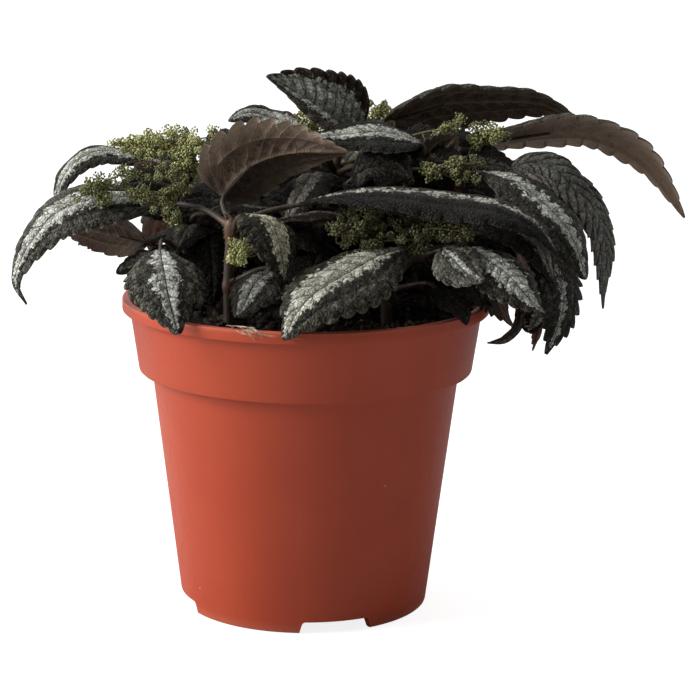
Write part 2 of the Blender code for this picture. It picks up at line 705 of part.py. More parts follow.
class Blade:
    """The leaf's curved middle surface, to be read at any part of its length and width."""

    def __init__(self, shape):
        self.curve = smooth_curve(np.array(shape["rib"], float) * MM)
        self.tangents, self.normals = carried_frame(self.curve, shape["face"], shape["twist"])
        self.half = shape["width"] * MM / 2
        self.widest = shape["widest"]
        self.taper = shape["taper"]
        self.lift = math.radians(shape["lift"])
        self.curl = math.radians(shape["curl"])
        lengths = np.linalg.norm(np.diff(self.curve, axis=0), axis=1)
        self.parts = np.concatenate([[0], np.cumsum(lengths)]) / lengths.sum()

    def at(self, part, across, reach=1.0):
        """Point and surface normal; across runs from -1 to 1 between the margins."""
        place = np.array([np.interp(part, self.parts, self.curve[:, k]) for k in range(3)])
        normal = unit(np.array([np.interp(part, self.parts, self.normals[:, k]) for k in range(3)]))
        tangent = unit(np.array([np.interp(part, self.parts, self.tangents[:, k]) for k in range(3)]))
        side = np.cross(tangent, normal)
        size = self.half * half_width(part, self.widest, self.taper) * reach if 0 < part < 1 else 0
        out = abs(across)
        slope = self.lift + self.curl * out
        shift = size * (math.sin(slope) - math.sin(self.lift)) / self.curl
        rise = size * (math.cos(self.lift) - math.cos(slope)) / self.curl
        sign = math.copysign(1, across)
        point = place + side * sign * shift + normal * rise
        if across == 0:
            return point, normal
        return point, normal * math.cos(slope) - side * sign * math.sin(slope)


def blade_shape(shape):
    """The leaf as a thin closed solid: a midrib row, an inner row, and a toothed margin each side."""
    blade = Blade(shape)
    teeth = shape["teeth"]
    middle, faces = [], []
    spots = {}

    def spot(key, part, across, reach=1.0):
        spots[key] = len(middle)
        middle.append(blade.at(part, across, reach))

    for k in range(teeth + 1):
        spot(("rib", k), k / teeth, 0)
    for sign in (-1, 1):
        for k in range(1, teeth):
            if shape["width"] > NARROW_LEAF:
                spot(("inner", sign, k), k / teeth, sign * INNER_ROW)
            else:
                spots["inner", sign, k] = spots["rib", k]
            spot(("notch", sign, k), k / teeth, sign, 1 - TOOTH_DEPTH)
        for k in range(teeth):
            spot(("tooth", sign, k), (k + TOOTH_AT) / teeth, sign, 1 + TOOTH_DEPTH)
        for end in (0, teeth):
            spots["inner", sign, end] = spots["notch", sign, end] = spots["rib", end]
    for sign in (-1, 1):
        for k in range(teeth):
            rib, rib_on = spots["rib", k], spots["rib", k + 1]
            inner, inner_on = spots["inner", sign, k], spots["inner", sign, k + 1]
            tooth = spots["tooth", sign, k]
            found = [
                (rib, rib_on, inner_on), (rib, inner_on, inner), (inner, inner_on, tooth),
                (inner, tooth, spots["notch", sign, k]), (inner_on, spots["notch", sign, k + 1], tooth),
            ]
            faces += [f if sign > 0 else f[::-1] for f in found if len(set(f)) == 3]
    count = len(middle)
    points = [p + n * BLADE / 2 for p, n in middle] + [p - n * BLADE / 2 for p, n in middle]
    rim = {}
    for a, b, c in faces:
        for edge in ((a, b), (b, c), (c, a)):
            if edge[::-1] in rim:
                del rim[edge[::-1]]
            else:
                rim[edge] = True
    solid = list(faces) + [tuple(i + count for i in f[::-1]) for f in faces]
    for a, b in rim:
        solid += [(b, a, a + count), (b, a + count, b + count)]
    return points, solid


def stem_place(stem_curve, height):
    """The stem's middle at this height, in millimetres."""
    return stem_curve[np.abs(stem_curve[:, 2] - height * MM).argmin()]


def petiole_shape(shape, stem_curve):
    """The leaf's stalk, from inside its stem to under the first part of the midrib."""
    blade = Blade(shape)
    under = [blade.at(part, 0) for part in PETIOLE_JOIN]
    sunk = [point - normal * PETIOLE_SINK for point, normal in under]
    bends = [np.array(p, float) * MM for p in shape["petiole"]]
    curve = smooth_curve([stem_place(stem_curve, shape["height"]), *bends, *sunk])
    route = along(curve, np.linspace(0, 1, 3 + len(bends)))
    return tube(route, np.linspace(PETIOLE_RADIUS, PETIOLE_TIP_RADIUS, len(route)), PETIOLE_SIDES)


def stem_curve_of(stem):
    x, y = stem["foot"]
    straight = [(x, y, z / MM) for z in STEM_STRAIGHT]
    return smooth_curve(np.array(straight + stem["bends"], float) * MM)


def stem_shape(stem):
    curve = stem_curve_of(stem)
    x, y = (c * MM for c in stem["foot"])
    route = [(x, y, STEM_FOOT_Z), *along(curve, np.linspace(0, 1, STEM_RINGS))]
    return tube(route, np.linspace(STEM_RADIUS, STEM_TOP_RADIUS, len(route)), STEM_SIDES)


def make_stem(name, stem, finish):
    shapes = [stem_shape(stem)]
    for shape in stem["leaves"].values():
        shapes += [blade_shape(shape), petiole_shape(shape, stem_curve_of(stem))]
    return join_as(name, shapes, finish)


def tuft_shape(centre, draw):
    """A head of six florets: an octahedron's corners drawn out, with hollows between them."""
    turn = np.linalg.qr(np.array([[draw.gauss(0, 1) for _ in range(3)] for _ in range(3)]))[0]
    tips = [sign * turn[axis] for axis in range(3) for sign in (1, -1)]
    points = [centre + tip * TUFT_OUT * (1 + draw.uniform(-1, 1) * TUFT_UNEVEN) for tip in tips]
    hollows = {}
    for a, b in ((i, j) for i in range(6) for j in range(i + 1, 6) if i // 2 != j // 2):
        hollows[a, b] = len(points)
        points.append(centre + unit(tips[a] + tips[b]) * TUFT_IN)
    faces = []
    for a, b, c in ((a, b, c) for a in (0, 1) for b in (2, 3) for c in (4, 5)):
        ab, bc, ac = hollows[a, b], hollows[b, c], hollows[a, c]
        faces += [(a, ab, ac), (b, bc, ab), (c, ac, bc), (ab, bc, ac)]
    return points, faces


def clear_of(trees, place, room):
    return all(tree.find_nearest(Vector(place), room)[0] is None for tree in trees)


def free_part(curve, trees):
    """The end of the curve along which a stalk keeps the gap to every stem and leaf."""
    points = tube(curve, np.full(len(curve), STALK_RADIUS), RING_CHECKS)[0]
    rings = np.reshape(points, (len(curve), RING_CHECKS, 3))
    near = [k for k, ring in enumerate(rings) if not all(clear_of(trees, p, GAP) for p in ring)]
    return curve[near[-1] + 1:] if near else curve


def make_cluster(name, row, stem_curves, trees, finish, seed):
    """Tufts of florets that grow beside each other round a stalk, just clear of stems and leaves."""
    stem_name, height, route, spread, tufts = row
    draw = random.Random(seed)
    start = stem_place(stem_curves[stem_name], height)
    curve = smooth_curve([start, *(np.array(route, float) * MM)])
    curve = free_part(along(curve, np.linspace(0, 1, ROUTE_CHECKS)), trees)
    stalk = along(curve, np.linspace(0, 1, 3 + len(route)))
    shapes = [tube(stalk, np.full(len(stalk), STALK_RADIUS), STALK_SIDES)]
    grown = [(place, STALK_STEP) for place in along(curve, np.linspace(*STALK_IN_FLOWER, 6))]
    room = TUFT_OUT * (1 + TUFT_UNEVEN) + TUFT_CLEAR
    places = []
    for _ in range(TUFT_TRIES):
        way = np.array([draw.gauss(0, 1) * part for part in spread])
        beside, step = draw.choice(grown)
        place = beside + unit(way) * step
        apart = all(np.linalg.norm(place - other) > TUFT_APART for other in places)
        if len(places) < tufts and apart and clear_of(trees, place, room):
            places.append(place)
            grown.append((place, TUFT_STEP))
            shapes.append(tuft_shape(place, draw))
    return join_as(name, shapes, finish)


def tree_of(made):
    body = bmesh.new()
    body.from_mesh(made.data)
    tree = BVHTree.FromBMesh(body)
    body.free()
    return tree


def main():
    clear_scene()
    make_pot(material("terracotta_plastic", TERRACOTTA, 0.42))
    make_soil(material("potting_soil", SOIL_BROWN, 0.95))
    leaf_finish = material("leaf", LEAF_GREEN, 0.5)
    stems = [make_stem(name, stem, leaf_finish) for name, stem in STEMS.items()]
    trees = [tree_of(made) for made in stems]
    curves = {name: stem_curve_of(stem) for name, stem in STEMS.items()}
    flower_finish = material("flower", FLOWER_GREEN, 0.8)
    for seed, (name, row) in enumerate(CLUSTERS.items()):
        made = make_cluster(name, row, curves, trees, flower_finish, seed + 11)
        trees.append(tree_of(made))


main()
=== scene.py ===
import itertools
import math
import random

import bmesh
import bpy
import numpy as np
from mathutils import Matrix, Vector, noise
from mathutils.bvhtree import BVHTree


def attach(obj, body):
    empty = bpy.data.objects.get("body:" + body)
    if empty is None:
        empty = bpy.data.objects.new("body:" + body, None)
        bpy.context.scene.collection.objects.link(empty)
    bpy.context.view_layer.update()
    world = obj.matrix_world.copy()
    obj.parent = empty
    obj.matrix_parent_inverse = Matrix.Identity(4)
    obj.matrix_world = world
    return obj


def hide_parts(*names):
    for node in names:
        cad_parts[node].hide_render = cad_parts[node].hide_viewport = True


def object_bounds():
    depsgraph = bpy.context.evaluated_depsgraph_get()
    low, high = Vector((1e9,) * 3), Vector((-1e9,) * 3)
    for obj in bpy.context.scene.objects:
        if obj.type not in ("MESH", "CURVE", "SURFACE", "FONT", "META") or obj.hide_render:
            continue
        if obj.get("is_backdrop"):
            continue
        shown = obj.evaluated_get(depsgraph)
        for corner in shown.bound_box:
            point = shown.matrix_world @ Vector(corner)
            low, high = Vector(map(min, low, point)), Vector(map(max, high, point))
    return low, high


# A potted friendship plant: quilted, silver-banded leaves over a dressed plastic nursery pot

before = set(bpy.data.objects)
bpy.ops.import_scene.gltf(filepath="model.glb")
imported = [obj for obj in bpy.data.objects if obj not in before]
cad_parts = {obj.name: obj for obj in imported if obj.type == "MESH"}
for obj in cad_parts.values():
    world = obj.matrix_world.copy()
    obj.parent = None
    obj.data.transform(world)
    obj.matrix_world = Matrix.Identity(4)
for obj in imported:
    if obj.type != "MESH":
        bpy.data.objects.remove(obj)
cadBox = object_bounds()
mm = 0.001
print("frame loaded:", len(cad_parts), "nodes")


# shader values

class Value:
    # an output of a shader node, which is added, multiplied and so on as a number is
    def __init__(self, tree, socket):
        self.tree, self.socket = tree, socket

    def math(self, operation, *others):
        return addNode(self.tree, "ShaderNodeMath", dict(enumerate((self, *others))), operation=operation)[0]

    def __add__(self, other):
        return self.math("ADD", other)

    def __sub__(self, other):
        return self.math("SUBTRACT", other)

    def __rsub__(self, other):
        return addNode(self.tree, "ShaderNodeMath", {0: other, 1: self}, operation="SUBTRACT")[0]

    def __mul__(self, other):
        return self.math("MULTIPLY", other)

    def __truediv__(self, other):
        return self.math("DIVIDE", other)

    def __abs__(self):
        return self.math("ABSOLUTE")


class Outputs:
    # a node's outputs, by number or by name
    def __init__(self, tree, node):
        self.tree, self.node = tree, node

    def __getitem__(self, key):
        return Value(self.tree, self.node.outputs[key])

    def __iter__(self):
        return (Value(self.tree, socket) for socket in self.node.outputs)


def connect(value, socket):
    value.tree.links.new(value.socket, socket)


def addNode(tree, kind, inputs=None, **settings):
    made = tree.nodes.new(kind)
    for key, value in settings.items():
        setattr(made, key, value)
    for key, value in (inputs or {}).items():
        if isinstance(value, Value):
            connect(value, made.inputs[key])
        else:
            made.inputs[key].default_value = value
    return Outputs(tree, made)


def largest(first, *others):
    for other in others:
        first = first.math("MAXIMUM", other)
    return first


def clamped(value):
    value.socket.node.use_clamp = True
    return value


def blend(share, first, second, mode="MIX"):
    tree = next(entry.tree for entry in (share, first, second) if isinstance(entry, Value))
    values = {0: share, 6: first, 7: second}
    return addNode(tree, "ShaderNodeMix", values, data_type="RGBA", blend_type=mode)[2]


def ramp(value, low, high, outLow=0.0, outHigh=1.0):
    values = {"Value": value, 1: low, 2: high, 3: outLow, 4: outHigh}
    return addNode(value.tree, "ShaderNodeMapRange", values, interpolation_type="SMOOTHSTEP")[0]


def parts(value, kind="Color"):  # three channels, or X, Y and Z
    return addNode(value.tree, "ShaderNodeSeparate" + kind, {0: value})


def noiseAt(place, scale, detail, roughness=0.5):
    values = {"Vector": place, "Scale": scale, "Detail": detail, "Roughness": roughness}
    return addNode(place.tree, "ShaderNodeTexNoise", values)


def cellsAt(place, scale, **settings):
    return addNode(place.tree, "ShaderNodeTexVoronoi", {"Vector": place, "Scale": scale}, **settings)


def bright(*colour):  # sRGB 0 to 255 as a shader colour
    shares = [c / 255 for c in colour]
    return (*[c / 12.92 if c <= 0.04045 else ((c + 0.055) / 1.055) ** 2.4 for c in shares], 1)


# camera, light and floor

studio = {
    "cameraPlace": (0.0145, -0.7454, 0.2460),
    "cameraPitch": 0.214,  # radians below level
    "cameraRoll": 0.012,
    "focalLength": 119.3,  # mm on a sensor this wide
    "sensorWidth": 36,
    "lights": {"keyBox": ((-1.02, -0.24, 0.60), 0.8, 17.0), "topBox": ((-0.25, 0.15, 1.25), 0.8, 3.0)},
    "lightsAim": (0, 0, 0.11),
    "skyFront": 0.13,  # what lights the plant from the camera's side
    "skyBack": 0.9,  # and from behind it
    "floorColour": (0.45, 0.45, 0.45, 1),
    "floorGlow": 0.85,  # as the camera sees it
    "floorReach": 6.0,
    "floorDrop": 0.0002,
}


def addObject(name, data):
    made = bpy.data.objects.new(name, data)
    bpy.context.scene.collection.objects.link(made)
    return made


def makeCamera():
    data = bpy.data.cameras.new("camera")
    data.sensor_width = studio["sensorWidth"]
    data.lens = studio["focalLength"]
    pitch, roll = studio["cameraPitch"], studio["cameraRoll"]
    right = Vector((1, 0, 0))
    up = Vector((0, math.sin(pitch), math.cos(pitch)))
    ahead = Vector((0, math.cos(pitch), -math.sin(pitch)))
    turnedRight = right * math.cos(roll) + up * math.sin(roll)
    turnedUp = up * math.cos(roll) - right * math.sin(roll)
    stand = Matrix((turnedRight, turnedUp, -ahead)).transposed().to_4x4()
    stand.translation = Vector(studio["cameraPlace"])
    camera = addObject("camera", data)
    camera.matrix_world = stand
    bpy.context.scene.camera = camera


def makeLights():
    for name, (spot, size, power) in studio["lights"].items():
        data = bpy.data.lights.new(name, "AREA")
        data.shape = "DISK"
        data.size = size
        data.energy = power
        light = addObject(name, data)
        light.location = spot
        aim = Vector(studio["lightsAim"]) - Vector(spot)
        light.rotation_euler = aim.to_track_quat("-Z", "Y").to_euler()


def makeSky():
    sky = bpy.data.worlds.new("studio")
    bpy.context.scene.world = sky
    sky.use_nodes = True
    tree = sky.node_tree
    tree.nodes.clear()
    depth = parts(addNode(tree, "ShaderNodeTexCoord")["Generated"], "XYZ")["Y"]
    strength = ramp(depth, -0.35, 0.55, studio["skyFront"], studio["skyBack"])
    around = addNode(tree, "ShaderNodeBackground", {"Color": (1, 1, 1, 1), "Strength": strength})[0]
    seen = addNode(tree, "ShaderNodeBackground", {"Color": (1, 1, 1, 1), "Strength": 1.0})[0]
    toCamera = addNode(tree, "ShaderNodeLightPath")["Is Camera Ray"]
    both = addNode(tree, "ShaderNodeMixShader", {0: toCamera, 1: around, 2: seen})[0]
    addNode(tree, "ShaderNodeOutputWorld", {0: both})


def makeFloor():
    mesh = bpy.data.meshes.new("floor")
    reach = studio["floorReach"]
    corners = [(-reach, -reach, 0), (reach, -reach, 0), (reach, reach, 0), (-reach, reach, 0)]
    mesh.from_pydata(corners, [], [(0, 1, 2, 3)])
    floor = addObject("floor", mesh)
    floor.location.z = -studio["floorDrop"]
    paper, tree, sockets = newMaterial("floorPaper", {
        "Base Color": studio["floorColour"], "Roughness": 0.9, "Emission Strength": studio["floorGlow"]})
    connect(addNode(tree, "ShaderNodeLightPath")["Is Camera Ray"], sockets["Emission Color"])
    mesh.materials.append(paper)
    floor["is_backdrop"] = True


def newMaterial(name, values):
    made = bpy.data.materials.new(name)
    made.use_nodes = True
    sockets = made.node_tree.nodes["Principled BSDF"].inputs
    for label, value in values.items():
        sockets[label].default_value = value
    return made, made.node_tree, sockets


makeCamera()
makeLights()
makeSky()
makeFloor()
bpy.context.scene.view_settings.view_transform = "Standard"
print("studio ready")


# shader groups

veins = {
    "sweep": 2.0,  # how far the rungs run forwards on their way to the margin, in teeth
    "sideAt": 0.52,  # where the side veins run, of the half width
}


def newGroup(name, inputs, outputs):
    # an input has its usual value, or None where it is a place
    group = bpy.data.node_groups.new(name, "ShaderNodeTree")
    for label, value in inputs.items():
        kind = "NodeSocketVector" if value is None else "NodeSocketFloat"
        made = group.interface.new_socket(label, in_out="INPUT", socket_type=kind)
        if value is not None:
            made.default_value = value
    for label in outputs:
        group.interface.new_socket(label, in_out="OUTPUT", socket_type="NodeSocketFloat")
    given = Outputs(group, group.nodes.new("NodeGroupInput"))
    return group, given, group.nodes.new("NodeGroupOutput").inputs


def useGroup(tree, group, inputs):
    return addNode(tree, "ShaderNodeGroup", inputs, node_tree=group)


def makeMottle():
    # soft cloudy patches and fine grain, for colour and roughness
    group, given, out = newGroup(
        "mottle", {"Place": None, "Patch Scale": 300.0, "Grain Scale": 2500.0}, ("Patches", "Grain"))
    connect(ramp(noiseAt(given["Place"], given["Patch Scale"], 3.0)[0], 0.3, 0.7), out["Patches"])
    connect(noiseAt(given["Place"], given["Grain Scale"], 2.0)[0], out["Grain"])
    return group


def makeVeins():
    # Place is the share of length, that of half width, and teeth; Flat is mm along and across, and a seed
    group, given, out = newGroup(
        "leafVeins",
        {"Place": None, "Flat": None, "Midrib Width": 0.35, "Side Width": 0.22, "Rung Width": 0.05,
         "Cell Scale": 0.55},
        ("Ribs", "Rungs", "Net", "Cells", "Wander", "Phase", "Out"))
    spot, flat = parts(given["Place"], "XYZ"), parts(given["Flat"], "XYZ")
    outward, across = abs(spot["Y"]), abs(flat["Y"])
    half = across / largest(outward, 0.02)
    wander = noiseAt(given["Flat"], 0.22, 3.0, 0.6)[0]
    sway = wander - 0.5
    midrib = clamped(1.0 - across / given["Midrib Width"])
    sideAt = ramp(spot["X"], 0.0, 0.16) * veins["sideAt"]
    sideGap = abs(outward - sideAt + sway * 0.06) * half
    side = clamped(1.0 - sideGap / given["Side Width"])
    phase = spot["X"] * spot["Z"] + (1.0 - outward) * veins["sweep"]
    turn = abs((phase + sway * 0.5).math("FRACT") - 0.5)
    rungs = clamped(1.0 - (0.5 - turn) / given["Rung Width"])
    bent = noiseAt(given["Flat"], 0.8, 1.0)["Color"]
    shifted = addNode(group, "ShaderNodeVectorMath", {0: bent, 1: (0.5, 0.5, 0.5)}, operation="SUBTRACT")[0]
    warped = addNode(group, "ShaderNodeVectorMath", {0: shifted, 1: (1.4, 1.4, 0.0), 2: given["Flat"]},
                     operation="MULTIPLY_ADD")[0]
    net = cellsAt(warped, given["Cell Scale"], feature="DISTANCE_TO_EDGE")[0]
    cells = parts(cellsAt(warped, given["Cell Scale"])["Color"])[0]
    found = {
        "Ribs": largest(midrib, side * 0.7), "Rungs": rungs, "Net": ramp(net, 0.12, 0.0), "Cells": cells,
        "Wander": wander, "Phase": phase, "Out": outward,
    }
    for label, value in found.items():
        connect(value, out[label])
    return group


mottleGroup = makeMottle()
veinGroup = makeVeins()


# materials of the plant

def named(tree, name):
    return addNode(tree, "ShaderNodeAttribute", attribute_name=name)


def objectPlace(tree):
    return addNode(tree, "ShaderNodeTexCoord")["Object"]


def stretched(value, upright):
    return addNode(value.tree, "ShaderNodeMapping", {"Vector": value, "Scale": (1.0, 1.0, upright)})[0]


def connectBump(sockets, height, distance, strength):
    values = {"Height": height, "Distance": distance, "Strength": strength}
    connect(addNode(height.tree, "ShaderNodeBump", values)[0], sockets["Normal"])


leafLooks = {
    "silver": bright(232, 233, 222),
    "silverDull": bright(140, 140, 130),
    "dark": bright(46, 43, 31),
    "darker": bright(24, 21, 13),
    "speckle": bright(112, 111, 99),
    "vein": bright(20, 19, 15),
    "edge": bright(122, 116, 98),
    "wine": bright(104, 46, 34),
    "warm": bright(255, 242, 205),
    "shade": bright(118, 106, 82),
    "under": bright(86, 67, 53),
    "underDark": bright(48, 37, 28),
    "underRib": bright(146, 122, 98),
    "underPale": bright(180, 158, 138),
    "bandWander": 0.34,  # how far the band's edge strays, of the half width
    "bandPebbles": 0.13,  # and steps from pebble to pebble
    "pebbleScale": 1.35,
}


def makeLeafTop():
    made, tree, sockets = newMaterial("leafTop", {"Specular IOR Level": 0.2})
    flat, tone, mood = named(tree, "leafFlat")["Vector"], named(tree, "leafTone"), named(tree, "leafMood")
    silverShare, band, freckles = parts(tone["Color"])
    edgeShare, warm, shade = parts(mood["Color"])
    pattern = useGroup(tree, veinGroup, {"Place": named(tree, "leafPlace")["Vector"], "Flat": flat})
    out, cells, wander, phase = (pattern[label] for label in ("Out", "Cells", "Wander", "Phase"))
    mottle = useGroup(tree, mottleGroup, {"Place": flat, "Patch Scale": 0.5, "Grain Scale": 2.6})
    grain = mottle["Grain"]
    # the band's edge waves with the teeth, strays, and steps from pebble to pebble
    pebbles = cellsAt(flat, leafLooks["pebbleScale"])
    pebbleTone = parts(pebbles["Color"])[0]
    lobes = (phase * (2 * math.pi)).math("SINE")
    edge = band + lobes * 0.02 + (wander - 0.5) * leafLooks["bandWander"]
    edge = edge + (pebbleTone - 0.5) * leafLooks["bandPebbles"] + (cells - 0.5) * 0.12
    aside, pebbleAside = abs(parts(flat, "XYZ")["Y"]), abs(parts(pebbles["Position"], "XYZ")["Y"])
    pebbleOut = out + (pebbleAside - aside) * (largest(out, 0.02) / largest(aside, 0.05))
    inBand = ramp(pebbleOut - edge, 0.02, -0.02)
    dark = blend(mottle["Patches"], leafLooks["darker"], leafLooks["dark"])
    silver = blend(ramp(grain + cells * 0.3, 0.4, 0.85), leafLooks["silverDull"], leafLooks["silver"])
    silver = blend(silverShare, dark, silver)
    # grey freckles, thicker towards the margin and thin along the dark strip by the side vein
    outer = ramp(out - edge, 0.02, 0.3, 0.35, 1.0)
    freckled = ramp(cells * 0.22 + grain * 0.6 + pebbleTone * 0.3 + freckles * 0.62 - 0.92, 0.0, 0.3)
    colour = blend(inBand, blend(freckled * outer, dark, leafLooks["speckle"]), silver)
    # dark veins, with the fine net between the cells as painted shade in their creases
    lines = largest(pattern["Rungs"] * 0.75, pattern["Net"] * 0.4, pattern["Ribs"])
    colour = blend(lines * 0.85, colour, leafLooks["vein"])
    colour = blend(tone["Alpha"] * ramp(out, 0.45, 0.95), colour, leafLooks["wine"])
    # dark grooves from the midrib to the notches: the leaf's dark colour, partly as painted shade in the
    # hollows between the swellings
    grooves = ramp(((phase + (wander - 0.5) * 0.9) * (2 * math.pi)).math("COSINE"), 0.2, 1.0)
    grooves = grooves * ramp(grain, 0.25, 0.7, 0.55, 1.1) * ramp(out, 0.04, 0.3)
    colour = blend(clamped(grooves * mood["Alpha"]), colour, dark)
    colour = blend(ramp(out, 0.94, 0.99) * edgeShare, colour, leafLooks["edge"])
    # painted shade in the hollows between the pebbles and painted highlight on their crowns
    colour = blend(1.0, colour, ramp(pebbles["Distance"], 0.15, 0.75, 1.15, 0.66), "MULTIPLY")
    colour = blend(warm, colour, leafLooks["warm"], "MULTIPLY")
    connect(blend(shade, colour, leafLooks["shade"], "MULTIPLY"), sockets["Base Color"])
    connect(ramp(grain, 0.2, 0.8, 0.42, 0.62), sockets["Roughness"])
    swell = grain * 0.35 - pattern["Net"] * 0.6 - pebbles["Distance"] * 0.7 - pattern["Rungs"]
    connectBump(sockets, swell, 0.0004, 1.0)
    return made


def makeLeafUnder():
    made, tree, sockets = newMaterial(
        "leafUnder", {"Roughness": 0.55, "Specular IOR Level": 0.3, "Sheen Weight": 0.12})
    flat = named(tree, "leafFlat")["Vector"]
    pale, fluted, netShare = parts(named(tree, "leafTone")["Color"])
    shade = parts(named(tree, "leafMood")["Color"])[2]
    pattern = useGroup(tree, veinGroup, {
        "Place": named(tree, "leafPlace")["Vector"], "Flat": flat, "Midrib Width": 0.75, "Side Width": 0.5,
        "Rung Width": 0.09})
    mottle = useGroup(tree, mottleGroup, {"Place": flat, "Patch Scale": 0.3, "Grain Scale": 2.2})
    grain = mottle["Grain"]
    colour = blend(largest(mottle["Patches"], pale * 0.9), leafLooks["underDark"], leafLooks["under"])
    freckle = ramp(grain + pattern["Cells"] * 0.35 + pale * pale * 0.9, 0.45, 0.85)
    colour = blend(freckle * pale, colour, leafLooks["underPale"])
    colour = blend(ramp(pattern["Out"], 0.45, 0.95) * fluted, colour, leafLooks["underPale"])
    lines = largest(pattern["Rungs"] * 0.45, pattern["Net"] * netShare, pattern["Ribs"])
    colour = blend(lines * 0.8, colour, leafLooks["underRib"])
    connect(blend(shade, colour, leafLooks["shade"], "MULTIPLY"), sockets["Base Color"])
    connectBump(sockets, grain * 0.5 + pattern["Net"] * 0.5 + pattern["Rungs"], 0.0002, 0.9)
    return made


stalkLooks = {
    "bark": bright(66, 52, 39),
    "barkDark": bright(40, 31, 23),
    "rust": bright(94, 63, 39),
    "paper": bright(172, 164, 136),
    "root": bright(214, 190, 164),
    "hair": bright(205, 200, 184),
    "hairDark": bright(150, 140, 122),
}


def makeStalkSkin():
    made, tree, sockets = newMaterial("stalkSkin", {"Subsurface Weight": 0.08, "Subsurface Scale": 0.001})
    mottle = useGroup(tree, mottleGroup, {
        "Place": stretched(objectPlace(tree), 0.25), "Patch Scale": 500.0, "Grain Scale": 3000.0})
    colour = blend(mottle["Patches"], stalkLooks["barkDark"], stalkLooks["bark"])
    colour = blend(named(tree, "nodeRust")["Fac"] * 0.8, colour, stalkLooks["rust"])
    connect(colour, sockets["Base Color"])
    connectBump(sockets, mottle["Grain"], 0.00015, 0.6)
    return made


def makeThread(name, patchScale, roughness, dark, pale):
    made, tree, sockets = newMaterial(name, {"Roughness": roughness})
    mottle = useGroup(tree, mottleGroup, {"Place": objectPlace(tree), "Patch Scale": patchScale})
    connect(blend(mottle["Patches"], stalkLooks[dark], stalkLooks[pale]), sockets["Base Color"])
    return made


def makeStipulePaper():
    made, tree, sockets = newMaterial(
        "stipulePaper", {"Roughness": 0.6, "Subsurface Weight": 0.2, "Subsurface Scale": 0.001})
    mottle = useGroup(tree, mottleGroup, {"Place": objectPlace(tree), "Patch Scale": 900.0})
    colour = blend(named(tree, "nodeRust")["Fac"], stalkLooks["paper"], stalkLooks["rust"])
    connect(blend(mottle["Patches"], colour, stalkLooks["barkDark"]), sockets["Base Color"])
    return made


flowerLooks = {
    "green": bright(134, 148, 80),
    "yellow": bright(230, 230, 162),
    "deep": bright(112, 116, 76),
    "dim": bright(96, 86, 68),
    "brown": bright(104, 80, 56),
    "stalk": bright(150, 140, 88),
}


def makeFloretSkin():
    made, tree, sockets = newMaterial(
        "floretSkin", {"Roughness": 0.55, "Subsurface Weight": 0.1, "Subsurface Scale": 0.0006})
    tone = named(tree, "floretTone")
    yellow, brown, stalk = parts(tone["Color"])
    colour = blend(yellow, flowerLooks["green"], flowerLooks["yellow"])
    colour = blend(brown, colour, flowerLooks["brown"])
    colour = blend(stalk, colour, flowerLooks["stalk"])
    mottle = useGroup(tree, mottleGroup, {
        "Place": objectPlace(tree), "Patch Scale": 900.0, "Grain Scale": 4000.0})
    # painted shade in patches among the florets
    deep = blend(0.7, colour, flowerLooks["deep"], "MULTIPLY")
    colour = blend(mottle["Patches"], deep, colour)
    dim = 1.0 - tone["Alpha"]  # painted shade on florets that lie deep among the leaves
    connect(blend(dim, colour, flowerLooks["dim"], "MULTIPLY"), sockets["Base Color"])
    connectBump(sockets, mottle["Grain"], 0.0001, 0.7)
    return made


leafTop = makeLeafTop()
leafUnder = makeLeafUnder()
stalkSkin = makeStalkSkin()
stipulePaper = makeStipulePaper()
hairFluff = makeThread("hairFluff", 60.0, 0.6, "hairDark", "hair")
rootHair = makeThread("rootHair", 400.0, 0.7, "bark", "root")
floretSkin = makeFloretSkin()
print("plant materials ready")


# shapes

def smoothCurve(points, steps=14):
    given = np.array(points, float)
    ends = np.vstack([2 * given[0] - given[1], given, 2 * given[-1] - given[-2]])
    found = []
    for i in range(1, len(ends) - 2):
        before, start, end, after = ends[i - 1:i + 3]
        for t in np.arange(steps) / steps:
            found.append(0.5 * (
                2 * start + (end - before) * t
                + (2 * before - 5 * start + 4 * end - after) * t ** 2
                + (3 * start - before - 3 * end + after) * t ** 3
            ))
    return np.vstack([found, given[-1:]])


def along(curve, shares):
    lengths = np.concatenate([[0], np.cumsum(np.linalg.norm(np.diff(curve, axis=0), axis=1))])
    at = np.array(shares) * lengths[-1]
    return np.stack([np.interp(at, lengths, curve[:, axis]) for axis in range(3)], axis=1)


def evenly(curve, count):
    return along(curve, np.linspace(0, 1, count))


def unit(vectors):
    return vectors / np.linalg.norm(vectors, axis=-1, keepdims=True)


def carriedFrame(curve, face):
    # tangents, and normals that turn no more than the curve does
    tangents = unit(np.gradient(curve, axis=0))
    normal, normals = np.array(face, float), []
    for tangent in tangents:
        normal = normal - tangent * normal.dot(tangent)
        normal = normal / np.linalg.norm(normal)
        normals.append(normal)
    return tangents, np.array(normals)


def tube(route, radii, sides):
    route = np.array(route, float)
    upright = abs(route[-1][2] - route[0][2]) > 0.5 * np.ptp(route, 0).sum()
    tangents, normals = carriedFrame(route, (0, 1, 0) if upright else (0, 0, 1))
    across = np.cross(tangents, normals)
    angles = 2 * math.pi * np.arange(sides) / sides
    ring = np.cos(angles)[None, :, None] * normals[:, None] + np.sin(angles)[None, :, None] * across[:, None]
    points = (route[:, None] + np.array(radii, float)[:, None, None] * ring).reshape(-1, 3)
    faces = [tuple(range(sides))[::-1], tuple(range(len(points) - sides, len(points)))]
    for low in range(0, len(points) - sides, sides):
        for step in range(sides):
            after = (step + 1) % sides
            faces.append((low + step, low + after, low + sides + after, low + sides + step))
    return points, faces


def smoothStep(values, low, high):
    share = np.clip((values - low) / (high - low), 0, 1)
    return share * share * (3 - 2 * share)


def ballOf(cuts):
    body = bmesh.new()
    bmesh.ops.create_icosphere(body, subdivisions=cuts, radius=1)
    points = np.array([v.co for v in body.verts])
    faces = [tuple(v.index for v in f.verts) for f in body.faces]
    body.free()
    return points, faces


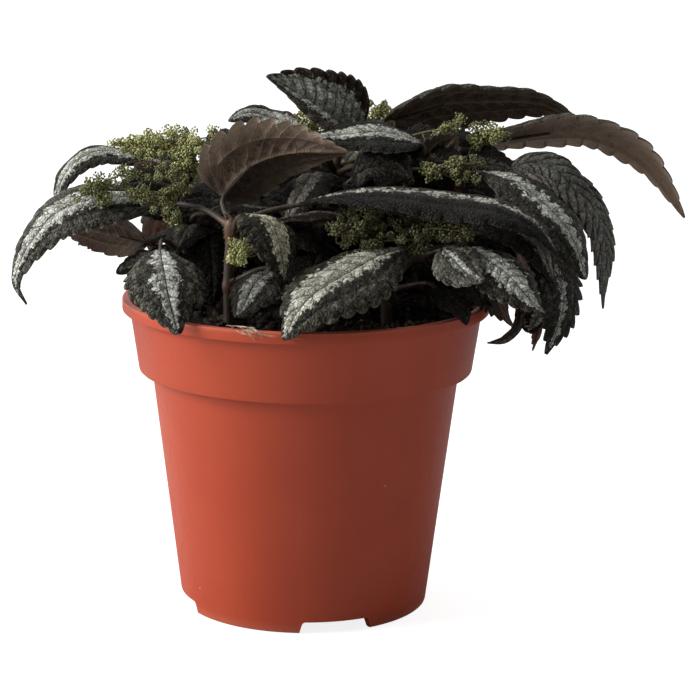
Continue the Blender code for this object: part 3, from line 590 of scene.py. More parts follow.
class Growth:
    # gathers the shapes of one piece, with what its material reads at each point
    def __init__(self, layers):
        self.points, self.faces, self.slots, self.count = [], [], [], 0
        self.sizes, self.layers = layers, {name: [] for name in layers}

    def add(self, points, faces, slot=0, **values):
        self.points.append(np.asarray(points, float))
        self.faces += [tuple(i + self.count for i in face) for face in faces]
        self.slots += slot if isinstance(slot, list) else [slot] * len(faces)
        for name, size in self.sizes.items():
            given = np.asarray(values.get(name, 0.0), float)
            given = np.broadcast_to(given, (len(points), size) if size > 1 else (len(points),))
            self.layers[name].append(given.reshape(len(points), size))
        self.count += len(points)

    def finish(self, name, materials, node, slot, angle=50):
        mesh = bpy.data.meshes.new(name)
        mesh.from_pydata(np.vstack(self.points).tolist(), [], self.faces)
        kinds = {1: ("FLOAT", "value"), 3: ("FLOAT_VECTOR", "vector"), 4: ("FLOAT_COLOR", "color")}
        for layer, size in self.sizes.items():
            kind, field = kinds[size]
            made = mesh.attributes.new(layer, kind, "POINT")
            made.data.foreach_set(field, np.vstack(self.layers[layer]).ravel().astype(np.float32))
        for entry in materials:
            mesh.materials.append(entry)
        mesh.polygons.foreach_set("material_index", self.slots)
        mesh.shade_smooth()
        mesh.set_sharp_from_angle(angle=math.radians(angle))
        piece = addObject(name, mesh)
        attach(piece, "root")
        if node:
            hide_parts(node)


def turned(profile, sides):
    # a closed solid from (radius, height) points that start and end on the axis
    angles = 2 * math.pi * np.arange(sides) / sides
    points = [(0, 0, profile[0][1])]
    for radius, z in profile[1:-1]:
        points += [(radius * math.cos(a), radius * math.sin(a), z) for a in angles]
    points.append((0, 0, profile[-1][1]))
    last, faces = len(points) - 1 - sides, []
    for step in range(sides):
        after = (step + 1) % sides
        faces.append((0, 1 + after, 1 + step))
        for low in range(1, last, sides):
            faces.append((low + step, low + after, low + sides + after, low + sides + step))
        faces.append((last + step, last + after, len(points) - 1))
    return np.array(points), faces


def softened(profile, radius, steps=4):
    # the same profile with its inner corners rounded
    found = [profile[0]]
    for before, corner, after in zip(profile, profile[1:], profile[2:]):
        before, corner, after = (np.array(p, float) for p in (before, corner, after))
        back, on = np.linalg.norm(before - corner), np.linalg.norm(after - corner)
        reach = min(radius, back * 0.45, on * 0.45)
        start = corner + (before - corner) / back * reach
        end = corner + (after - corner) / on * reach
        for t in np.linspace(0, 1, steps):
            found.append(tuple(start * (1 - t) ** 2 + corner * 2 * t * (1 - t) + end * t ** 2))
    return found + [profile[-1]]


# pot

pot = {
    "height": 102, "lipRadius": 60, "lipHeight": 3.8,
    "collarTopRadius": 57.5, "collarFootRadius": 54.6, "collarFoot": 78.5,
    "bodyTopRadius": 50.4, "footRadius": 40.7, "wall": 1.4, "floorLift": 3.5, "padRadius": 12,
    "sides": 160, "rounding": 0.55, "sharpAngle": 32,
    "notches": 4, "notchTurn": 16, "notchHalfAngle": 16.5, "notchSteps": 16,
    "notchNarrowing": [(-5.5, 1.08), (-0.9, 0.96), (-0.1, 0.93), (0.3, 0.88)],  # by height from the floor
    "drainHoles": 6, "drainRadius": 3.6, "drainRing": 26, "drainSides": 24,
    "colour": bright(181, 67, 36), "colourLight": bright(189, 74, 42), "colourWorn": bright(200, 116, 90),
    "dustPale": bright(236, 190, 170), "dustDark": bright(84, 40, 30),
}


def potProfile():
    top, step, wall, lift = pot["height"], pot["collarFoot"], pot["wall"], pot["floorLift"]
    lip, collar, shoulder = pot["lipRadius"], pot["collarTopRadius"], pot["collarFootRadius"]
    body, foot, pad = pot["bodyTopRadius"], pot["footRadius"], pot["padRadius"]
    lipFoot = top - pot["lipHeight"]
    outside = [
        (0, 0), (pad, 0), (pad + 1.5, lift), (foot - 3.0, lift), (foot - 2.2, 0), (foot, 0),
        (body, step - 0.4), (shoulder, step), (collar, lipFoot), (lip, lipFoot), (lip, top),
    ]
    inside = [
        (collar - 0.3, top), (shoulder - wall, step + 1.8), (body - 1.2, step + 1.2),
        (foot - 1.2, lift + wall), (pad + 0.6, lift + wall), (pad - 0.9, wall), (0, wall),
    ]
    return outside + inside


def notchBlock(index):
    # a block bent round the foot, a little narrower upwards
    middle = math.radians(pot["notchTurn"] - 90 + 360 / pot["notches"] * index)
    steps, points = pot["notchSteps"], []
    for rise, narrow in pot["notchNarrowing"]:
        for radius in (pot["footRadius"] - 3.6, pot["footRadius"] + 4):
            for step in range(steps + 1):
                angle = middle + math.radians(pot["notchHalfAngle"] * narrow * (2 * step / steps - 1))
                points.append((radius * math.cos(angle), radius * math.sin(angle), pot["floorLift"] + rise))
    row, faces = steps + 1, []
    top = len(points) - 2 * row
    for low in range(0, top, 2 * row):
        high = low + 2 * row
        faces.append((low, low + row, high + row, high))
        faces.append((low + steps, high + steps, high + row + steps, low + row + steps))
        for step in range(steps):
            faces.append((low + step, high + step, high + step + 1, low + step + 1))
            faces.append((low + row + step, low + row + step + 1, high + row + step + 1, high + row + step))
    for step in range(steps):
        faces.append((step, step + 1, row + step + 1, row + step))
        faces.append((top + step, top + row + step, top + row + step + 1, top + step + 1))
    return points, faces


def rawObject(name, points, faces):
    mesh = bpy.data.meshes.new(name)
    mesh.from_pydata((np.array(points) * mm).tolist(), [], faces)
    body = bmesh.new()
    body.from_mesh(mesh)
    bmesh.ops.recalc_face_normals(body, faces=body.faces)
    body.to_mesh(mesh)
    body.free()
    return addObject(name, mesh)


def cutAway(target, cutter):
    step = target.modifiers.new("cut", "BOOLEAN")
    step.operation, step.solver, step.object = "DIFFERENCE", "EXACT", cutter
    with bpy.context.temp_override(object=target, active_object=target):
        bpy.ops.object.modifier_apply(modifier=step.name)
    bpy.data.objects.remove(cutter)


def makePotPlastic():
    made, tree, sockets = newMaterial("terracottaPlastic", {"Specular IOR Level": 0.45})
    where = objectPlace(tree)
    mottle = useGroup(tree, mottleGroup, {"Place": where, "Patch Scale": 22.0, "Grain Scale": 900.0})
    colour = blend(mottle["Patches"], pot["colour"], pot["colourLight"])
    specks = cellsAt(where, 150.0)
    chosen, paler, _ = parts(specks["Color"])
    dot = ramp(specks["Distance"], 0.07, 0.02) * chosen.math("GREATER_THAN", 0.93)
    dust = blend(paler.math("GREATER_THAN", 0.55), pot["dustPale"], pot["dustDark"])
    colour = blend(dot * 0.8, colour, dust)
    # the lip's top and the foot are rubbed lighter
    height, top = parts(where, "XYZ")[2], pot["height"] * mm
    rubbed = largest(ramp(height, top - 0.0014, top - 0.0001), ramp(height, 0.004, 0.0))
    colour = blend(rubbed * (mottle["Grain"] * 0.6 + 0.1), colour, pot["colourWorn"])
    connect(colour, sockets["Base Color"])
    scuffs = useGroup(tree, mottleGroup, {
        "Place": stretched(where, 0.15), "Patch Scale": 60.0, "Grain Scale": 1600.0})
    connect(ramp(scuffs["Patches"] * 0.4 + scuffs["Grain"], 0.3, 1.0, 0.34, 0.5), sockets["Roughness"])
    connectBump(sockets, mottle["Grain"] * 0.5 + dot * 1.5, 0.00006, 0.5)
    return made


def makePot():
    body = rawObject("pot_shell", *turned(softened(potProfile(), pot["rounding"]), pot["sides"]))
    for index in range(pot["notches"]):
        cutAway(body, rawObject("notch", *notchBlock(index)))
    for index in range(pot["drainHoles"]):
        angle = 2 * math.pi * (index + 0.5) / pot["drainHoles"]
        radius = pot["drainRadius"]
        hole, sides = turned([(0, 2), (radius, 2), (radius, 8), (0, 8)], pot["drainSides"])
        hole = hole + (pot["drainRing"] * math.cos(angle), pot["drainRing"] * math.sin(angle), 0)
        cutAway(body, rawObject("drain", hole, sides))
    body.data.materials.clear()
    body.data.materials.append(makePotPlastic())
    body.data.shade_smooth()
    body.data.set_sharp_from_angle(angle=math.radians(pot["sharpAngle"]))
    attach(body, "root")
    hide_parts("pot")


makePot()
print("pot turned and cut")


# soil

soil = {
    "top": 96, "mound": 2, "edgeRadius": 55.3, "sides": 120, "rings": 46,
    "underneath": [(12.2, 5.2), (39.1, 5.2), (48.8, 80.0), (52.5, 81.0)],
    "crumbs": {"count": 780, "size": (0.5, 1.7), "tone": (0, 0.12)},
    "specks": {"count": 110, "size": (0.25, 0.7), "tone": (0.4, 1)},
    "dark": bright(22, 18, 15), "brown": bright(52, 40, 32), "pale": bright(150, 140, 122),
    "fibres": 16, "fibresTurn": (-112, 3), "fibreRadii": (0.1, 0.05), "fibreSteps": 14,
}


def makeSoilMix():
    made, tree, sockets = newMaterial("pottingSoil", {"Roughness": 0.92, "Specular IOR Level": 0.2})
    mottle = useGroup(tree, mottleGroup, {
        "Place": objectPlace(tree), "Patch Scale": 700.0, "Grain Scale": 2400.0})
    colour = blend(mottle["Patches"] * 0.7, soil["dark"], soil["brown"])
    connect(blend(named(tree, "soilTone")["Fac"], colour, soil["pale"]), sockets["Base Color"])
    connectBump(sockets, mottle["Grain"], 0.0006, 1.0)
    return made


def soilHeight(x, y):
    inward = 1 - min(1.0, math.hypot(x, y) / soil["edgeRadius"])
    lumps = 1.5 * noise.noise(Vector((x, y, 3)) * 0.16) + 0.9 * noise.noise(Vector((x, y, 9)) * 0.5)
    return soil["top"] + soil["mound"] * math.sin(inward * math.pi / 2) + lumps * min(1.0, inward * 14)


def lumpBall(centre, radius, draw):
    points, faces = ballOf(1)
    points = points * np.array([draw.uniform(0.6, 1.3), draw.uniform(0.6, 1.3), draw.uniform(0.5, 0.9)])
    points *= np.array([[1 + draw.uniform(-0.25, 0.25)] for _ in points])
    turn = np.linalg.qr(np.array([[draw.gauss(0, 1) for _ in range(3)] for _ in range(3)]))[0]
    if np.linalg.det(turn) < 0:
        turn[:, 0] *= -1
    return points @ turn.T * radius + centre, faces


def makeSoil():
    draw = random.Random(5)
    growth = Growth({"soilTone": 1})
    sides, edge, rings, top = soil["sides"], soil["edgeRadius"], soil["rings"], soil["top"]
    floor = pot["wall"] + 0.3
    below = [(11.0, floor), *soil["underneath"]]
    surface = [(edge * (1 - k / rings), top) for k in range(rings)]
    points, faces = turned([(0, floor), *below, *surface, (0, top)], sides)
    for point in points[1 + len(below) * sides:]:
        point[2] = soilHeight(point[0], point[1])
    growth.add(points * mm, faces, soilTone=0.0)
    for kind in ("crumbs", "specks"):
        for _ in range(soil[kind]["count"]):
            reach = edge * math.sqrt(draw.uniform(0.1, 1)) - 1.2
            angle = draw.uniform(0, 2 * math.pi)
            x, y = reach * math.cos(angle), reach * math.sin(angle)
            size = draw.uniform(*soil[kind]["size"])
            ball, sidesOf = lumpBall((x, y, soilHeight(x, y) + size * 0.25), size, draw)
            growth.add(ball * mm, sidesOf, soilTone=draw.uniform(*soil[kind]["tone"]))
    growth.finish("soil_surface", [makeSoilMix()], "soil", "potting_soil", 60)


def makeRootFibres():
    # dry hair roots that lie over the rim at the front left
    draw = random.Random(8)
    growth = Growth({})
    steps = soil["fibreSteps"]
    for _ in range(soil["fibres"]):
        turn = math.radians(draw.gauss(*soil["fibresTurn"]))
        # from the lip outwards, up from it, degrees round it and their spread
        bends = [(-7, -3.0, 0, 1), (-3.6, 0.3, 2, 1.5), (-1.0, 0.8, 5, 2), (0.9, -0.4, 8, 2.5)]
        bends.append((1.1, -draw.uniform(1.5, 5), 13, 3))
        route = []
        for reach, rise, swing, sway in bends:
            angle, reach = turn + math.radians(draw.gauss(swing, sway)), pot["lipRadius"] + reach
            route.append((reach * math.cos(angle), reach * math.sin(angle), pot["height"] + rise))
        route = along(smoothCurve(route), np.linspace(draw.uniform(0, 0.4), draw.uniform(0.7, 1), steps))
        growth.add(*tube(route * mm, np.linspace(*soil["fibreRadii"], steps) * mm, 5))
    growth.finish("root_fibres", [rootHair], None, "potting_soil")


makeSoil()
makeRootFibres()
print("soil filled")


# leaves

def leaf(height, petiole, rib, face, width, teeth, lift=8, curl=-48, widest=0.4, taper=1.05, **look):
    # heights, bends and widths in millimetres, nearly all as in the solids; angles in degrees
    given = {"height": height, "petiole": petiole, "rib": rib, "face": face, "width": width, "teeth": teeth}
    return {**given, "lift": lift, "curl": curl, "widest": widest, "taper": taper, **usualLook, **look}


def insideLeaf(*shape, **look):
    return leaf(*shape, **{**insideLook, **look})


def fillerLeaf(*shape, **look):
    return leaf(*shape, **{**fillerLook, **look})


usualLook = {
    "silver": 0.75,  # how bright the band is
    "band": 0.42,  # its width, of the half width
    "freckle": 0.4,  # grey freckles outside it
    "wine": 0.0,  # red-brown towards the margin
    "edge": 0.4,  # pale rim
    "warm": 0.0,  # yellower
    "shade": 0.0,  # painted shade, darker all over
    "pale": 0.25,  # the underside's freckles
    "fluted": 0.3,  # and its pale margin
    "net": 0.25,  # and its fine veins
    "flute": 0.35,  # waves of the margin, mm
    "quilt": 1.0,  # swelling between veins
    "lobed": 1.0,  # depth of the teeth
    "lopsided": 0.0,  # deeper on the right half
    "lean": 0.0,  # band wider on the right half
    "darkHalf": 0.0,  # painted shade on one half, the left one if below 0
    "darkFrom": -0.05,  # how far out that painted shade begins
    "rungs": 0.0,  # dark grooves across, partly painted shade
    "sharp": 0.2,  # from round lobes to pointed teeth
    "plain": False,  # fewer points, for leaves that hardly show
}
insideLook = {"silver": 0.4, "band": 0.22, "freckle": 0.15, "shade": 0.7, "plain": True}
fillerLook = {"silver": 0.2, "band": 0.2, "freckle": 0.3, "shade": 0.7, "plain": True}

# each stem: where it leaves the soil, and its bends
stems = {
    "stem_front_left": {"foot": (-24, -26), "bends": [(-24, -26, 116), (-23, -26, 131)]},
    "stem_left": {"foot": (-38, -4), "bends": [(-39, -3, 118), (-40, 2, 134)]},
    "stem_centre_front": {"foot": (26, -18), "bends": [(28, -20, 112), (33, -23, 120)]},
    "stem_centre": {"foot": (4, 4), "bends": [(6, 7, 125), (10, 12, 150)]},
    "stem_right": {"foot": (40, 6), "bends": [(44, 6, 120), (50, 8, 140)]},
    "stem_back_right": {"foot": (24, 26), "bends": [(26, 30, 125), (28, 33, 146)]},
    "stem_back": {"foot": (0, 34), "bends": [(0, 37, 118), (0, 40, 134)]},
    "stem_back_left": {"foot": (-28, 24), "bends": [(-30, 26, 116), (-32, 26, 130)]},
}

# the leaves of each stem
leaves = {
    "stem_front_left": {
        "far_left": leaf(
            129, [(-33, -17, 133)],
            [(-43, -8, 134), (-60, -13, 135.5), (-70, -17, 135), (-79.5, -21, 131.5), (-85, -23, 125),
             (-89, -25, 118), (-91, -26, 110), (-87.5, -27, 103.5)],
            (0, -0.4, 0.92), 25, 9, curl=-44, widest=0.38, taper=1.6, silver=1.0, band=0.38, freckle=0.85,
            sharp=0.4, quilt=1.3),
        "cupped_brown": leaf(
            130, [(-26, -21, 134)],
            [(-26.5, -18, 137), (-23, -16, 142.5), (-16, -14, 147.5), (-2, -12, 151), (13, -12, 151)],
            (-0.2, 0.8, 0.45), 28, 8, lift=22, curl=-20, widest=0.24, fluted=1.0, net=0.5, flute=0.5,
            quilt=2.4, lobed=0.75, lopsided=0.9, darkHalf=-0.7),
        "long_level": leaf(
            128, [(-14, -25, 133)],
            [(-4, -24, 136), (12, -27, 140), (30, -27, 141), (46, -28, 140), (60, -32, 138),
             (71, -35, 132.5), (78, -38, 123.5)],
            (0, -0.15, 1), 27, 8, lift=4, curl=-56, widest=0.56, silver=0.95, band=0.15, lean=0.09,
            freckle=0.2, shade=0.35, darkHalf=0.9, darkFrom=0.22, wine=0.1),
        "drooping": leaf(
            126, [(-21, -30, 132)],
            [(-18.5, -32, 134), (-11, -39, 132.5), (-7, -45, 126), (-6.5, -47, 115.5)],
            (0.6, -0.35, 0.8), 25, 7, silver=0.95, band=0.34, freckle=0.6, warm=0.6),
        "under_drooping": leaf(
            110, [(-14, -29, 116)],
            [(-9.5, -34, 117), (-16, -41, 112), (-20, -48, 104)],
            (-0.3, -0.4, 0.85), 20, 6, silver=0.35, band=0.36, freckle=0.35),
    },
    "stem_left": {
        "left_upper": leaf(
            132, [(-41, 6, 139)],
            [(-46.5, 8, 143.5), (-58.5, 8, 147), (-68.5, 6, 148), (-76.5, 2, 143), (-80.5, -2, 136),
             (-82, -4, 130)],
            (0, -0.3, 0.95), 13, 7, silver=0.92, freckle=0.5),
        "left_brown": leaf(
            113, [(-45, 1, 116)],
            [(-51.5, 3, 118.5), (-63, 4, 121), (-69.5, 3, 123), (-77, 2, 123.5), (-83.5, 1, 122)],
            (0, 0.75, 0.6), 20, 7, curl=-30, pale=0.1, fluted=0.1, net=0.2, shade=0.3),
        "front_left_ovate": leaf(
            112, [(-42, -15, 120), (-45, -25, 124)],
            [(-45, -32, 122.5), (-43.5, -41, 118.5), (-41, -50, 111), (-38, -54, 100)],
            (0, -0.3, 1), 25, 8, silver=0.95, band=0.32, freckle=0.8, edge=0.2),
        "left_hanging": fillerLeaf(
            117, [(-35, 0, 122)],
            [(-33, -3, 123), (-31, -9, 120), (-30, -13, 111), (-30, -15, 101)],
            (0, -0.3, 1), 18, 5, freckle=0.1, shade=1.0, plain=False),
        "left_low_tip": leaf(
            108, [(-42, -9, 116)],
            [(-46.5, -13, 117.5), (-50, -15, 117), (-54.5, -17, 115.5), (-60, -19, 112)],
            (0, -0.5, 0.85), 12, 5, silver=0.5, band=0.34, freckle=0.2),
        "behind_lower": fillerLeaf(
            126, [(-38, 5, 131)],
            [(-36.5, 4, 134), (-44, 2, 138), (-52, 0, 140), (-60.5, -2, 137)],
            (0, -0.8, 0.6), 17, 6, silver=0.1, freckle=0.2, shade=0.5, wine=0.5),
        "inside_left": fillerLeaf(
            124, [(-35, 0, 128)],
            [(-21, -3, 132), (-27.5, -1, 134), (-34, 0, 134.5), (-41, 0, 133)],
            (0, -0.9, 0.4), 15, 5, silver=0.1, freckle=0.2, shade=0.6, wine=0.4),
        "inside_left_edge": fillerLeaf(
            122, [(-28, -1, 127)],
            [(-29, -3, 130), (-33.5, -2, 130), (-37.5, -2, 129.5), (-43, -2, 128)],
            (0, -0.9, 0.4), 12, 5, silver=0.1, freckle=0.2, wine=0.4),
        "inside_left_low": fillerLeaf(
            110, [(-30, -3, 114)],
            [(-28, -5, 114.5), (-24.5, -7, 113), (-21, -9, 111), (-18, -10, 108)],
            (0, -0.9, 0.4), 12, 5, silver=0.1, freckle=0.2),
    },
    "stem_centre_front": {
        "front_silver": leaf(
            119, [(34, -25, 122)],
            [(32.5, -28, 123.5), (22, -39, 121.5), (9.5, -52, 117), (0.5, -60, 110.5),
             (-5.5, -62.5, 100.5)],
            (-0.2, -0.5, 0.8), 31, 8, widest=0.5, silver=0.88, lean=0.14, freckle=0.7, warm=0.2, rungs=0.5,
            quilt=1.5, lobed=1.5),
        "front_right_silver": leaf(
            118, [(42, -29, 124)],
            [(51.5, -34, 124.5), (59, -39, 120), (64.5, -43.5, 115.5), (69, -47, 111.5), (74, -49, 107)],
            (0, -0.45, 0.9), 20, 7, silver=1.0, band=0.5, freckle=0.7, edge=0.8, rungs=0.3, lobed=1.4,
            quilt=1.3),
        "front_middle_silver": leaf(
            116, [(37, -30, 121)],
            [(42.5, -36, 124.5), (46, -40, 121.5), (50, -44.5, 118.5), (55, -48, 116)],
            (-0.2, -0.5, 0.85), 16, 6, curl=-30, band=0.22, freckle=1.0, edge=0.9),
        "over_rim_dark": leaf(
            108, [(38, -23, 111)],
            [(41.5, -31, 111.5), (45.5, -36, 109.5), (49, -40, 106), (50.5, -42, 101.5)],
            (0.3, -0.3, 0.9), 13, 5, silver=0.3, band=0.06, freckle=0.05, shade=0.8),
    },
    "stem_centre": {
        "crown_silver": leaf(
            149, [(16, 16, 151)],
            [(16, 16, 152.5), (9.5, 13, 157), (3, 10, 162), (-4.5, 7, 168), (-13.5, 4, 173)],
            (0.36, -0.77, 0.53), 31, 7, lift=40, curl=-12, widest=0.28, silver=1.0, band=0.56, lean=0.12,
            freckle=0.6, wine=0.1, quilt=1.9, rungs=0.25, lobed=0.95, lopsided=-0.4, edge=0.3),
        "crown_behind": leaf(
            146, [(6, 20, 151)],
            [(-1, 27, 153), (-10, 30, 156), (-19, 30, 158.5), (-27, 28, 155.5)],
            (-0.1, -0.5, 0.85), 13, 6, silver=0.7, band=0.5, freckle=0.3),
        "inner_back": insideLeaf(
            112, [(6, 10, 116)],
            [(8, 14, 118), (12, 24, 121), (14, 34, 119), (15, 41, 110)],
            (0, 0.1, 1), 20, 5),
        "inner_front": insideLeaf(
            110, [(4, -3, 115)],
            [(4, -8, 117), (3, -16, 117), (1, -23, 112), (0, -27, 103)],
            (0, -0.3, 1), 20, 5),
        "inner_middle": insideLeaf(
            117, [(2, 2, 124)],
            [(-1, -2, 126), (-8, -7, 128), (-14, -9, 125), (-17, -10, 117)],
            (0, -0.3, 0.95), 18, 5),
        "inner_right": insideLeaf(
            118, [(12, 6, 122)],
            [(16, 4, 124), (28, 0, 128), (40, -4, 128), (50, -9, 121)],
            (0, -0.3, 0.95), 21, 6),
        "inner_left": insideLeaf(
            114, [(-1, 6, 119)],
            [(-5, 5, 121), (-15, 4, 126), (-24, 4, 126), (-32, 5, 119)],
            (0, -0.3, 0.95), 21, 6),
        "inner_upper_left": fillerLeaf(
            126, [(6, 9, 134)],
            [(9.5, 8, 139), (3.5, 6, 142.5), (-4.5, 4, 143.5), (-13.5, 2, 141)],
            (0, -0.85, 0.5), 24, 6, silver=0.3, freckle=0.1, shade=0.6),
        "inner_upper_front": fillerLeaf(
            128, [(11, 7, 136)],
            [(14.5, 4, 140.5), (20.5, 0, 144.5), (27.5, -4, 145), (33.5, -8, 142.5)],
            (0, -0.85, 0.5), 22, 6, silver=0.3, freckle=0.1, shade=0.85),
        "inner_upper_right": fillerLeaf(
            130, [(18, 7, 137)],
            [(28.5, 4, 142.5), (36.5, 3, 145.5), (45, 2, 145), (52, 0, 141.5)],
            (0, -0.85, 0.5), 20, 6, silver=0.3, freckle=0.1, shade=0.6),
        "inner_brown": leaf(
            128, [(22, 12, 134)],
            [(31, 16, 139), (38.5, 20, 143), (45.5, 23, 148.5), (51.5, 24, 155)],
            (-0.2, 0.9, 0.4), 20, 6, pale=0.1, fluted=0.1, net=0.4),
        "crown_flat": leaf(
            140, [(22, 8, 146), (34, 7, 150)],
            [(37, 5, 152), (27, 1, 155), (13.5, -4, 156), (-1, -9, 154.5)],
            (0, -0.45, 1), 20, 7, curl=-36, silver=1.0, band=0.36, sharp=0.6),
    },
    "stem_right": {
        "far_right_brown": leaf(
            139, [(50, 15, 146)],
            [(56, 22, 150), (77, 28, 153), (96.5, 30, 153), (113.5, 32, 143.5), (127, 32, 124)],
            (0.05, 0.5, 0.85), 26, 9, widest=0.33, curl=-22, pale=0.5, fluted=0.85, net=0.3, lobed=2.1,
            quilt=2.4),
        "right_banded": leaf(
            136, [(52, 3, 142)],
            [(56, -1, 144), (67, -9, 142), (77, -15, 134), (85, -19, 124), (89.5, -21, 112.5)],
            (0.1, -0.3, 0.95), 25, 8, widest=0.5, taper=0.8, silver=0.95, band=0.27, freckle=0.6,
            rungs=0.25),
        "right_behind": leaf(
            132, [(55, 11, 140)],
            [(62, 13, 143.5), (79.5, 12, 142), (91.5, 9, 133), (97.5, 6, 118), (98, 4, 98.5)],
            (0.3, -0.2, 0.9), 28, 10, curl=-22, silver=0.3, band=1.2, wine=0.2, sharp=1.0, rungs=1.0,
            lobed=2.2, edge=0.2, quilt=1.4),
        "beside_banded": leaf(
            128, [(60, 10, 140)],
            [(66.5, 8, 144), (74, 9, 145.5), (81.5, 7, 142.5), (89.5, 3, 133), (93, -2, 122)],
            (0.2, -0.5, 0.85), 20, 7, silver=0.3, band=1.2, rungs=1, shade=0.2),
        "behind_base": fillerLeaf(
            130, [(48, 10, 141)],
            [(51.5, 9, 144), (57, 9, 145), (63, 9, 144), (68, 8, 142)],
            (0, -0.9, 0.4), 13, 5, silver=0.3, band=0.3, shade=0.5),
        "right_inner": leaf(
            124, [(52, 0, 128)],
            [(56, -2, 129), (66, -7, 128), (75, -13, 121), (80, -17, 110)],
            (0.1, -0.2, 0.95), 21, 6, silver=0.6, band=0.36, freckle=0.2),
        "right_low_silver": leaf(
            118, [(60, -1, 120)],
            [(72, -5, 120), (78, -10, 115.5), (81.5, -13, 109), (82.5, -15, 102), (81, -17, 95),
             (77.5, -18, 87.5)],
            (0.4, -0.4, 0.8), 22, 8, curl=-30, silver=0.9, band=0.16, freckle=0.6, sharp=0.8, lobed=2.2),
        "right_low_brown": leaf(
            112, [(60, 5, 111)],
            [(67, 4, 109), (73, 2, 102), (75.5, -3, 94.5), (74, -7, 86.5)],
            (0.4, 0.5, 0.7), 20, 7, curl=-25, silver=0.4, band=0.2, freckle=0.3, wine=0.5, pale=0.2,
            sharp=0.9, lobed=2.4),
        "right_low_dark": leaf(
            114, [(48, -10, 116)],
            [(54, -18, 115.5), (58, -23, 110), (62, -25, 105), (66, -26, 98.5)],
            (0.3, 0.6, 0.6), 20, 6, pale=0.05, fluted=0.05, net=0.1, shade=0.8, sharp=0.8, lobed=2.2),
        "right_over_rim": fillerLeaf(
            112, [(48, -12, 118)],
            [(52, -20, 119.5), (53.5, -24, 114.5), (55, -27, 109.5), (56, -28, 104.5)],
            (0.2, -0.85, 0.45), 17, 6, band=0.1, freckle=0.05, shade=0.6),
        "right_low_hook": leaf(
            110, [(60, -2, 112), (70, -5, 108)],
            [(77.5, -8, 103), (75, -11, 98.5), (73, -12, 95), (70, -12, 95)],
            (0.4, -0.4, 0.8), 9, 4, pale=0.1, fluted=0.1, net=0.1),
        "behind_right": fillerLeaf(
            126, [(51, 8, 130)],
            [(54, 8, 131), (62, 6, 127), (69, 3, 122), (75, 0, 117)],
            (0.1, -0.8, 0.6), 19, 6, shade=0.6),
        "behind_middle": fillerLeaf(
            127, [(42, 10, 131)],
            [(42, 10, 134), (47, 8, 136.5), (54, 6, 137), (61, 4, 134.5)],
            (0, -0.8, 0.6), 15, 5),
        "inside_front": fillerLeaf(
            116, [(37, -6, 119)],
            [(36, -10, 119.5), (39, -14, 116), (43, -18, 112.5), (45.5, -20, 109)],
            (0, -0.9, 0.4), 12, 5),
        "inside_rim": fillerLeaf(
            108, [(43, -8, 112)],
            [(45, -12, 112.5), (48.5, -16, 110), (52, -19, 106.5), (54, -20, 103.5)],
            (0, -0.8, 0.6), 12, 5),
        "inside_right": fillerLeaf(
            121, [(52, -4, 125)],
            [(56.5, -8, 124.5), (60.5, -10, 122), (64, -12, 118), (66.5, -14, 114)],
            (0, -0.8, 0.6), 13, 5, shade=0.6),
        "inside_middle": fillerLeaf(
            126, [(20, 2, 130)],
            [(0, -4, 131.5), (-5, -3, 132.5), (-10, -2, 133.5), (-15, -1, 133.5)],
            (0, -0.9, 0.4), 12, 5, silver=0.1, freckle=0.2, wine=0.4),
        "behind_centre": fillerLeaf(
            119, [(43, 0, 121)],
            [(43, -6, 122), (48.5, -12, 124.5), (55, -16, 126.5), (61.5, -20, 124.5)],
            (0, -0.8, 0.6), 18, 6, silver=0.3, shade=0.6),
        "behind_rim": fillerLeaf(
            105, [(41, -2, 107)],
            [(43.5, -10, 108), (49.5, -14, 110.5), (55.5, -18, 108), (59.5, -20, 103.5)],
            (0.2, -0.7, 0.7), 17, 6, freckle=0.2),
        "behind_crown_right": fillerLeaf(
            137, [(46, 12, 143)],
            [(42, 14, 148), (48, 14, 149.5), (55, 14, 150), (62, 13, 148)],
            (0, -0.8, 0.6), 15, 5, freckle=0.2, shade=0.6),
        "inside_crown": fillerLeaf(
            140, [(30, 16, 149)],
            [(31.5, 14, 151), (35.5, 14, 152), (39, 14, 152.5), (43, 14, 151.5)],
            (0, -0.9, 0.4), 12, 5, silver=0.3, band=0.3, shade=0.6),
        "brown_between": leaf(
            139, [(37, 8, 143)],
            [(40, 5, 144), (42.5, 5, 147), (45, 6, 150.5), (48.5, 7, 154)],
            (0.1, 0.9, 0.35), 15, 6, pale=0.0, fluted=0.1, net=0.2, shade=0.2, quilt=1.6),
        "right_thin_curl": leaf(
            110, [(54, -6, 111)],
            [(64, -10, 109), (69.5, -13, 102), (69, -16, 96), (64.5, -17, 92), (58.5, -17, 90.5)],
            (0.7, -0.2, 0.7), 7, 4, silver=0.2, band=0.3, freckle=0.0, wine=0.5, quilt=0.5),
    },
    "stem_back_right": {
        "arched_brown": leaf(
            143, [(23, 34, 148)],
            [(24.5, 33, 154.5), (40.5, 36, 160.5), (59, 40, 162.5), (77.5, 45, 161), (93, 48, 154)],
            (0, 0.65, 0.7), 23, 8, widest=0.3, pale=0.05, fluted=0.1, net=0.3, lobed=1.6, quilt=2.8),
        "back_right": leaf(
            138, [(32, 41, 142)],
            [(37, 48, 143), (50, 62, 142), (62, 74, 132), (68, 82, 116)],
            (0, 0.1, 1), 26, 7),
        "back_right_middle": leaf(
            129, [(37, 30, 134)],
            [(45, 31, 136), (60, 36, 135), (74, 44, 127), (82, 50, 112)],
            (0.1, 0, 1), 21, 6),
        "inner_far_right": insideLeaf(
            120, [(30, 24, 124)],
            [(33, 21, 126), (43, 18, 131), (53, 18, 132), (62, 19, 127)],
            (0, -0.3, 0.95), 20, 5),
        "behind_crown": insideLeaf(
            128, [(20, 28, 132)],
            [(16, 26, 134), (5, 23, 140), (-6, 21, 142), (-16, 19, 137)],
            (0, -0.4, 0.9), 21, 5),
        "back_right_low": leaf(
